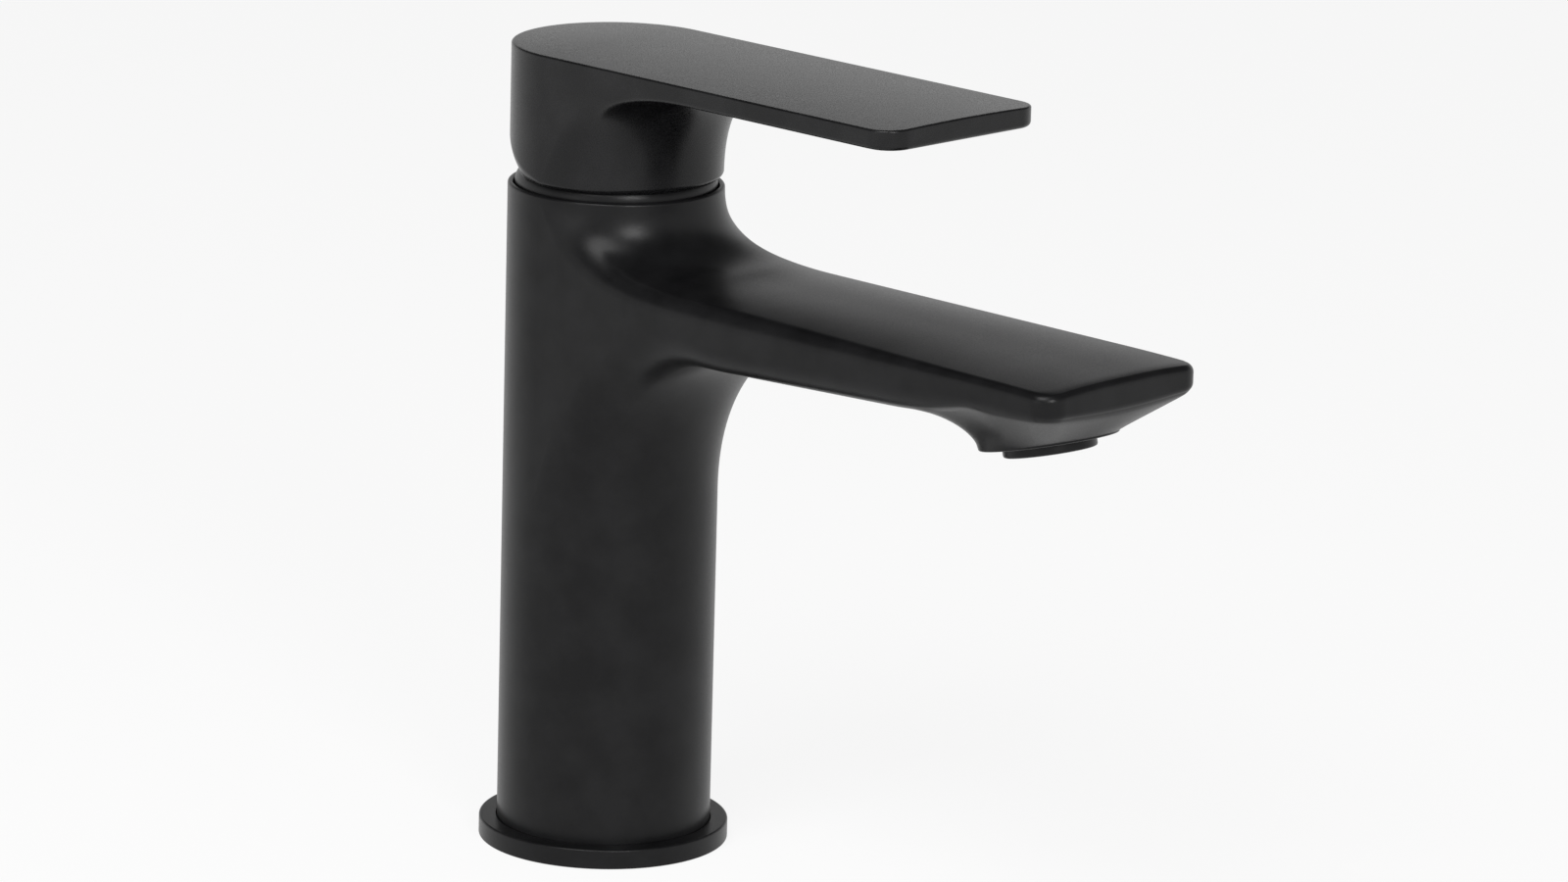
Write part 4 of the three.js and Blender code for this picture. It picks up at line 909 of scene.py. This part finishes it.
# %% Turn the base ring
_, ring_high = box_mm("base_ring")
RING, RING_TOP = ring_high[0], ring_high[2]
RING_BOTTOM_ROUND, RING_TOP_ROUND, SLACK = 0.3, 0.45, 0.15  # SLACK lies between the column and the ring
GASKET_TOP, RING_WALL = 1.4, 1.5  # the flat gasket's groove, open below
RING_HOLE, LEDGE, GROOVE_IN, GROOVE_OUT, GROOVE_FLOOR = 18.3, 3.0, 19.3, 21.3, 2.0  # the O-ring's groove
base_profile = [
    (RING_HOLE, GASKET_TOP), (RING - RING_WALL, GASKET_TOP), (RING - RING_WALL, 0),
    *reversed(soft_corner(RING, 0, RING_BOTTOM_ROUND, 1, -1)), *soft_corner(RING, RING_TOP, RING_TOP_ROUND),
    *reversed(soft_corner(R + SLACK, RING_TOP, SLACK, -1)), (R + SLACK, LEDGE), (GROOVE_OUT, LEDGE),
    (GROOVE_OUT, GROOVE_FLOOR), (GROOVE_IN, GROOVE_FLOOR), (GROOVE_IN, LEDGE), (RING_HOLE, LEDGE),
    (RING_HOLE, GASKET_TOP),
]
base = weld("base_ring_turned", [lathe(base_profile)])
dress(base, "faucet", "base_ring", coat_on_brass)

# %% Turn the cover ring
cover_low, cover_high = box_mm("cover_ring")
COVER, COVER_TOP = cover_high[0], cover_high[2]
COVER_WIDTH, COVER_WALL = 4.6, 1.1
dome = [(COVER - COVER_WIDTH * (1 - math.cos(a)), RIM + (COVER_TOP - RIM) * math.sin(a))
        for a in np.linspace(0, math.pi / 2, 14)]
opening = COVER - COVER_WIDTH
inside = [(max(radius, opening + COVER_WALL) - COVER_WALL, height - COVER_WALL)
          for radius, height in dome[::-1]]
cover_profile = [
    (COVER, cover_low[2]), *dome[:-1], (opening, COVER_TOP), *inside,
    (COVER - COVER_WALL, cover_low[2]), (COVER, cover_low[2]),
]
cover = weld("cover_ring_turned", [lathe(cover_profile)])
dress(cover, "faucet", "cover_ring", coat_on_brass)

# %% [markdown]
# ## Aerator
#
# The aerator is a turned cup that screws up into the boss, along the tilted jet. An upright lathe object
# could be tilted into place. Here its circles come from the same function as the boss, so it sits square to
# it by itself. Through its mouth one sees the plastic insert's jets.

# %% Turn the aerator's cup
AERATOR, AERATOR_WALL, AERATOR_DROP, AERATOR_TOP = 9.45, 1.2, 2.1, 6.2
CUP_LIP, CUP_CHAMFER, CUP_BEVEL = 0.8, 0.5, 0.2
inner = AERATOR - AERATOR_WALL
cup_profile = [
    (inner, CUP_BEVEL - AERATOR_DROP), (inner + CUP_BEVEL, -AERATOR_DROP),
    (AERATOR - CUP_CHAMFER, -AERATOR_DROP),
    (AERATOR - CUP_CHAMFER * 0.3, CUP_CHAMFER * 0.3 - AERATOR_DROP), (AERATOR, CUP_CHAMFER - AERATOR_DROP),
    (AERATOR, 0.1), (AERATOR, AERATOR_TOP), (inner - CUP_LIP, AERATOR_TOP),
    (inner - CUP_LIP, AERATOR_TOP - CUP_LIP), (inner, AERATOR_TOP - CUP_LIP),
    (inner, CUP_BEVEL - AERATOR_DROP),
]
round_the_jet = np.linspace(-math.pi, math.pi, 129)
cup = weld("aerator_cup_turned", [np.array([boss_ring(r, rise, round_the_jet) for r, rise in cup_profile])])
dress(cup, "faucet", "aerator_housing", coat_on_brass)

# %% [markdown]
# ## Lever
#
# The lever is a zinc die casting on the same kind of outline: a thin flat plate whose round back is deepened
# into a skirt over the column. The plate's underside runs into the skirt in a hollow sweep. Behind, the skirt
# is cut away upwards, which lets the lever rock back over the rim when it is lifted. It is made as the body
# is, from sheets, so that its sweep is as smooth as the spout's.

# %% Measurements of the lever
LEVER_TOP = lever_high[2]
PLATE_BOTTOM = LEVER_TOP - 4.5
PLATE_CROWN = 0.4  # how much lower the plate's top is along its edges
PLATE_ROUND, PLATE_CREST = 1.0, 0.45  # rounding of the plate's lower and upper edges
NECK_ROOT = 3.2  # rounding where the plate's flanks leave the skirt
NECK_NARROWS = (lever.radius * 0.4, lever.radius * 1.1)
NECK_RISE, NECK_RUN = 22.8, 25.4
NECK_SWEEP = [(lever.radius, PLATE_BOTTOM - NECK_RISE), (lever.radius, PLATE_BOTTOM - NECK_RISE * 0.224),
              (lever.radius + NECK_RUN * 0.252, PLATE_BOTTOM), (lever.radius + NECK_RUN, PLATE_BOTTOM)]
SKIRT_BOTTOM = RIM + 1.8
RELIEF = math.tan(math.radians(12))  # the lever lifts by 12 degrees, so the skirt's back rises as steeply
RELIEF_CLEARANCE = 0.6  # left above the rim where that rise would start, at the axis
SKIRT_ROUND_HEIGHT, SKIRT_ROUND_WIDTH = 1.2, 0.9  # rounding of the skirt's lower edge in front
BACK_GAINS_HEIGHT, BACK_GAINS_WIDTH = 0.34, 0.088  # and what each millimetre further back adds
SKIRT_ROUNDNESS = 1.7  # 1 is a straight bevel, more is rounder
MOUTH, HOLLOW, LIP = 20.66, lever.radius - 3.2, 0.2  # radii inside the skirt, and its edge's least width
MOUTH_END, HOLLOW_START = SKIRT_BOTTOM + 0.3, SKIRT_BOTTOM + 3.4
HOLLOW_TOP = LEVER_TOP - 6.3
HUB_RADIUS, HUB_BOTTOM = 8, 141.0
ROOF_SLOPE = 3  # mm in and up, where the hollow's wall meets its roof
print("lever top at", round(LEVER_TOP, 1), "mm, plate", round(LEVER_TOP - PLATE_BOTTOM, 1), "mm thick")

# %% Shape of the skirt's edge
def skirt_edge(out):
    """Height of the skirt's lower edge."""
    return np.maximum(SKIRT_BOTTOM, RIM + RELIEF_CLEARANCE - out * RELIEF)


def skirt_round_height(out):
    """How high the rounding of the skirt's lower edge reaches."""
    return SKIRT_ROUND_HEIGHT + BACK_GAINS_HEIGHT * np.maximum(-out, 0)


def skirt_round_width(out):
    """How far inwards the rounding of the skirt's lower edge reaches."""
    return SKIRT_ROUND_WIDTH + BACK_GAINS_WIDTH * np.maximum(-out, 0)


def hollow_radius(height):
    """The skirt's hollow is wider at its mouth, to clear the ring under it."""
    return np.interp(height, (MOUTH_END, HOLLOW_START), (MOUTH, HOLLOW))


print("the skirt's edge is", np.round(skirt_edge(-lever.radius) - skirt_edge(0), 2), "mm higher behind")

# %% [markdown]
# The plate needs four sheets: its top in front of the axis, its round back, its underside and its flanks. One
# sheet can't do it, because the skirt interrupts the flanks behind the axis.

# %% Heights and rounding of the plate
SKIRT_FRONT = SKIRT_BOTTOM + skirt_round_height(0)


def plate_top_height(x, out):
    """The plate's top, a little lower towards its edges."""
    return LEVER_TOP - PLATE_CROWN * np.minimum(np.hypot(x, np.minimum(out, 0)) / lever.radius, 1) ** 2


def plate_low_height(x, out):
    """The plate's underside and its hollow sweep down to the skirt."""
    return np.maximum(sweep(NECK_SWEEP, np.hypot(x, out)), SKIRT_FRONT)


def plate_round(out):
    """How far the rounding under the plate's flanks reaches: wide where the plate leaves the skirt."""
    at_skirt = NECK_ROOT * np.clip(out / FADE, 0, 1)
    return np.minimum(at_skirt, mix(NECK_ROOT, PLATE_ROUND, ease(out, *NECK_NARROWS)))


print("at the skirt, the plate's rounding reaches", plate_round(lever.radius / 2).round(1), "mm")

# %% Sheets of the lever's plate
DENSE_NECK = 34  # mm from the axis; up to here the stations crowd towards the skirt
near_skirt = DENSE_NECK * np.linspace(0, 1, 28) ** 2
at_tip = lever.straight - np.array([1.1, 0.85, 0.6, 0.42, 0.27, 0.15, 0.06, 0])
plate_stations = np.concatenate([near_skirt, np.linspace(DENSE_NECK, lever.straight - 1.4, 28)[1:], at_tip])
x, along = grid_of(lever.across, plate_stations / lever.straight)
out = mix(0, lever.front(x), along)
plate_top = round_sheet(lever, plate_top_height, PLATE_CREST, 1, x, out)
out = mix(lever.arc(x), lever.front(x), along)
plate_under = round_sheet(lever, plate_low_height, plate_round(out), -1, x, out)
JUST_BEHIND = 1e-9  # keeps points on the axis line with the round back
back_share = np.concatenate([[0, 0.002, 0.005, 0.01, 0.017, 0.027, 0.04], np.linspace(0.1, 1, 9)])
x, share = grid_of(lever.across, back_share)
behind_axis = -lever.arc(x) * (1 - share) - JUST_BEHIND
disc_top = round_sheet(lever, plate_top_height, PLATE_CREST, 1, x, behind_axis)

lever_edge = plan_edge(lever, plate_stations)
low_rows = round_flank(lever, plate_low_height, plate_round(lever_edge[:, 1]), -1, lever_edge,
                       border(plate_under))
high_rows = round_flank(lever, plate_top_height, PLATE_CREST, 1, lever_edge, border(plate_top))
plate_side = side_wall(low_rows, high_rows[::-1])
print("stations along the lever:", len(plate_stations))

# %% [markdown]
# The skirt is a ring of points that shrinks and climbs step by step: down its outer wall, round the lower
# edge, up inside and over the roof to the hub. A lathe can't turn it, because its edge rises behind.

# %% Back of the skirt
def skirt(x, out, share):
    """Skirt's rounded lower edge under a point of its wall: 0 is the wall's end, 1 the edge itself."""
    width, height = skirt_round_width(out), skirt_round_height(out)
    level = skirt_edge(out * (1 - width / lever.radius)) + height * (1 - share)
    radius = np.maximum(lever.radius - width * share ** SKIRT_ROUNDNESS, hollow_radius(level) + LIP)
    radius = np.where(share == 0, lever.radius, radius)
    return stack(x * radius / lever.radius, out * radius / lever.radius, level)


half_x, half_out = lever.across, lever.arc(lever.across)
ring_x = np.concatenate([half_x, half_x[-2::-1]])
ring_out = np.concatenate([half_out, -half_out[-2::-1]])
back_edge = np.stack([half_x, -half_out - JUST_BEHIND], axis=1)
back_crest = round_flank(lever, plate_top_height, PLATE_CREST, 1, back_edge, disc_top[0])
skirt_back = side_wall(skirt(half_x, -half_out, 0)[None], back_crest[::-1])
print("back of the skirt is", len(skirt_back), "rows of points high")

# %% Skirt and hollow of the lever
skirt_end = skirt(ring_x, ring_out, 1)


def hollow_ring(radius, height):
    """A level or uneven ring inside the skirt."""
    scale = radius / lever.radius
    return stack(ring_x * scale, ring_out * scale, height)


edge_level = skirt_end[:, 2]
mouth_level = np.maximum(edge_level, MOUTH_END)
cone_level = np.maximum(edge_level, HOLLOW_START) + 0.05  # a hair higher, so that the rings never touch
skirt_sheet = np.array([
    *(skirt(ring_x, ring_out, share) for share in np.linspace(0, 1, 9)),
    hollow_ring(hollow_radius(edge_level), edge_level), hollow_ring(hollow_radius(mouth_level), mouth_level),
    hollow_ring(HOLLOW, cone_level), hollow_ring(HOLLOW, HOLLOW_TOP - ROOF_SLOPE),
    hollow_ring(HOLLOW - ROOF_SLOPE, HOLLOW_TOP), hollow_ring(HUB_RADIUS, HOLLOW_TOP),
    hollow_ring(HUB_RADIUS, HUB_BOTTOM), hollow_ring(0, HUB_BOTTOM),
])
handle = weld("lever_casting", [plate_top, disc_top, plate_under, plate_side, skirt_back, skirt_sheet])

# %% [markdown]
# The stem's square shank goes up into the lever's hub. A grub screw reaches it through a bore in the back of
# the skirt, and a small plug closes that bore. Socket and bore are cut with booleans, as the body's bores
# are.

# %% Socket and screw bore
def block_bit(size, centre):
    """A closed box, to cut with, from its size and centre as (x, out, z) in millimetres."""
    made = bmesh.new()
    bmesh.ops.create_cube(made, size=1)
    bmesh.ops.scale(made, verts=made.verts, vec=[v * MM for v in size])
    bmesh.ops.translate(made, verts=made.verts, vec=(centre[0] * MM, -centre[1] * MM, centre[2] * MM))
    return as_bit(made)


def lie_back(bit, height):
    """Lays an upright cutter down, so that it points out of the back at a height."""
    bit.data.transform(Matrix.Translation((0, 0, height * MM)) @ Matrix.Rotation(math.radians(-90), 4, "X"))
    return bit


SHANK_SOCKET, SHANK_MIDDLE = (8.2, 7.2, 18.3), 149.15  # size of the square socket, and its middle's height
SCREW_BORE, PLUG_BORE, SCREW_HEIGHT = 2.6, 3.3, RIM + 11.2
SCREW_SPAN, PLUG_SPAN = (2, 11.5), (11, 25)  # from and to, measured backwards from the axis
drill(handle, [
    block_bit(SHANK_SOCKET, (0, 0, SHANK_MIDDLE)),
    lie_back(drill_bit(SCREW_BORE, *SCREW_SPAN), SCREW_HEIGHT),
    lie_back(drill_bit(PLUG_BORE, *PLUG_SPAN), SCREW_HEIGHT),
])
dress(handle, "lever", "lever_handle", coat_on_zinc)
print("lever drilled:", len(handle.data.polygons), "faces")

# %% [markdown]
# ## Inner pieces
#
# The cartridge, the stem, the seals and the aerator's insert have the right shape already. They keep their
# meshes and get the finish of what they are made of. They show when the lever is lifted, from below, or when
# somebody takes the mixer apart. Metals come first. What the eye takes for metal is how a tool's marks smear
# its reflections, so the marks go into the roughness as well as into a shallow bump.

# %% Turned brass and stainless steel
def turned_brass():
    """Free-cutting brass from the lathe: warm yellow, with the tool's fine rings, which streak its shine."""
    material, tree, shader, place = new_finish("turned_brass", metallic=1.0, rough=0.3)
    mottle(tree, place, shader, patch_mm=6, first="#C39A52", second="#CFA862")
    ring_mm = 0.25  # one ring for each turn of the lathe; at scale 1 a wave repeats every 2 pi / 20
    rings = add(tree, "ShaderNodeTexWave", {
        "wave_type": "RINGS", "rings_direction": "Z", "Scale": 2 * math.pi / 20 / (ring_mm * MM),
        "Distortion": 1.5, "Detail": 1}, Vector=place)
    rough = add(tree, "ShaderNodeMapRange", {"To Min": 0.24, "To Max": 0.38}, Value=rings.outputs["Fac"])
    bump = add(tree, "ShaderNodeBump", {"Strength": 0.5, "Distance": 0.01 * MM}, Height=rings.outputs["Fac"])
    feed(tree, shader, Roughness=rough.outputs["Result"], Normal=bump.outputs["Normal"])
    return material


def stainless_steel():
    """Drawn stainless steel: a neutral grey mirror blurred by fine scratches."""
    material, tree, shader, place = new_finish("drawn_stainless_steel", metallic=1.0, rough=0.28)
    mottle(tree, place, shader, patch_mm=4, first="#A9ABAD", second="#B6B8B9")
    drawn = add(tree, "ShaderNodeMapping", {"Scale": (0.08, 1, 1)}, Vector=place)
    scratch_mm = 0.15
    scratches = add(tree, "ShaderNodeTexNoise", {"Scale": 1000 / scratch_mm, "Detail": 2},
                    Vector=drawn.outputs["Vector"])
    rough = add(tree, "ShaderNodeMapRange", {"To Min": 0.2, "To Max": 0.38}, Value=scratches.outputs["Fac"])
    bump = add(tree, "ShaderNodeBump", {"Strength": 0.5, "Distance": 0.005 * MM},
               Height=scratches.outputs["Fac"])
    feed(tree, shader, Roughness=rough.outputs["Result"], Normal=bump.outputs["Normal"])
    return material


brass, steel = turned_brass(), stainless_steel()
print("metals:", brass.name, steel.name)

# %% [markdown]
# Plastic and rubber are moulded. The mould's surface is what one sees on them: a fine even grain on the
# plastics, a dull bloom on the rubber. The discs are alumina, ground flat and lapped until they seal, which
# leaves a pale, dense surface with a soft shine.

# %% Moulded plastics and rubber
def moulded_plastic(name, first, second, rough):
    """Acetal from a fine eroded mould: even colour, soft shine, and a grain of a fifth of a millimetre."""
    material, tree, shader, place = new_finish(name, metallic=0.0, rough=rough, ior=1.48)
    mottle(tree, place, shader, patch_mm=12, first=first, second=second)
    grain_mm = 0.2
    grain = add(tree, "ShaderNodeTexNoise", {"Scale": 1000 / grain_mm, "Detail": 2}, Vector=place)
    worn = add(tree, "ShaderNodeMapRange", {"To Min": rough - 0.08, "To Max": rough + 0.08},
               Value=grain.outputs["Fac"])
    bump = add(tree, "ShaderNodeBump", {"Strength": 0.5, "Distance": 0.01 * MM}, Height=grain.outputs["Fac"])
    feed(tree, shader, Roughness=worn.outputs["Result"], Normal=bump.outputs["Normal"])
    return material


def moulded_rubber():
    """EPDM rubber: dull and nearly black, with a dusty bloom where talcum is left from the mould."""
    material, tree, shader, place = new_finish("moulded_epdm_rubber", metallic=0.0, rough=0.8, ior=1.5)
    mottle(tree, place, shader, patch_mm=3, first="#151515", second="#1F1F1E")
    bloom_mm = 0.3
    skin = add(tree, "ShaderNodeTexNoise", {"Scale": 1000 / bloom_mm, "Detail": 3}, Vector=place)
    bloom = add(tree, "ShaderNodeMapRange", {"To Min": 0.7, "To Max": 0.92}, Value=skin.outputs["Fac"])
    bump = add(tree, "ShaderNodeBump", {"Strength": 0.5, "Distance": 0.02 * MM}, Height=skin.outputs["Fac"])
    feed(tree, shader, Roughness=bloom.outputs["Result"], Normal=bump.outputs["Normal"])
    return material


grey_plastic = moulded_plastic("moulded_grey_acetal", "#B4B8BC", "#BCBFC2", 0.45)
red_plastic = moulded_plastic("moulded_red_acetal", "#AC3128", "#B83A30", 0.45)
black_plastic = moulded_plastic("moulded_black_acetal", "#202021", "#28282A", 0.42)
rubber = moulded_rubber()
print("moulded:", grey_plastic.name, red_plastic.name, black_plastic.name, rubber.name)

# %% Lapped ceramic
def lapped_alumina():
    """Alumina ceramic, lapped: warm white, a faint mottle of sintered grain, and smooth enough to shine."""
    material, tree, shader, place = new_finish("lapped_alumina", metallic=0.0, rough=0.16, ior=1.76)
    mottle(tree, place, shader, patch_mm=1.5, first="#E2DED4", second="#ECE9E1")
    lapping_mm = 0.4  # the true marks are a few hundredths, too fine to show
    lapping = add(tree, "ShaderNodeTexNoise", {"Scale": 1000 / lapping_mm, "Detail": 2}, Vector=place)
    shine = add(tree, "ShaderNodeMapRange", {"To Min": 0.12, "To Max": 0.22}, Value=lapping.outputs["Fac"])
    feed(tree, shader, Roughness=shine.outputs["Result"])
    return material


ceramic = lapped_alumina()
print("ground flat:", ceramic.name)

# %% [markdown]
# The shape of a CAD piece is settled, so its mesh stays untouched and only its material slots change.

# %% Dress the inner pieces
FINISH_OF = {
    brass: ["cartridge_nut", "lever_stem"],
    steel: ["pivot_pin", "grub_screw", "aerator_screen"],
    rubber: ["base_o_ring", "base_gasket", "seal_hot", "seal_cold", "seal_outlet", "aerator_seal"],
    grey_plastic: ["cartridge_housing", "cartridge_base", "aerator_insert"],
    red_plastic: ["limit_ring"],
    black_plastic: ["disc_carrier", "rotor", "screw_plug"],
    ceramic: ["fixed_disc", "moving_disc"],
}
for finish, names in FINISH_OF.items():
    for name in names:
        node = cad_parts[name]
        for place in node.material_slots:
            place.material = finish
print("dressed:", sum(len(names) for names in FINISH_OF.values()), "inner pieces")
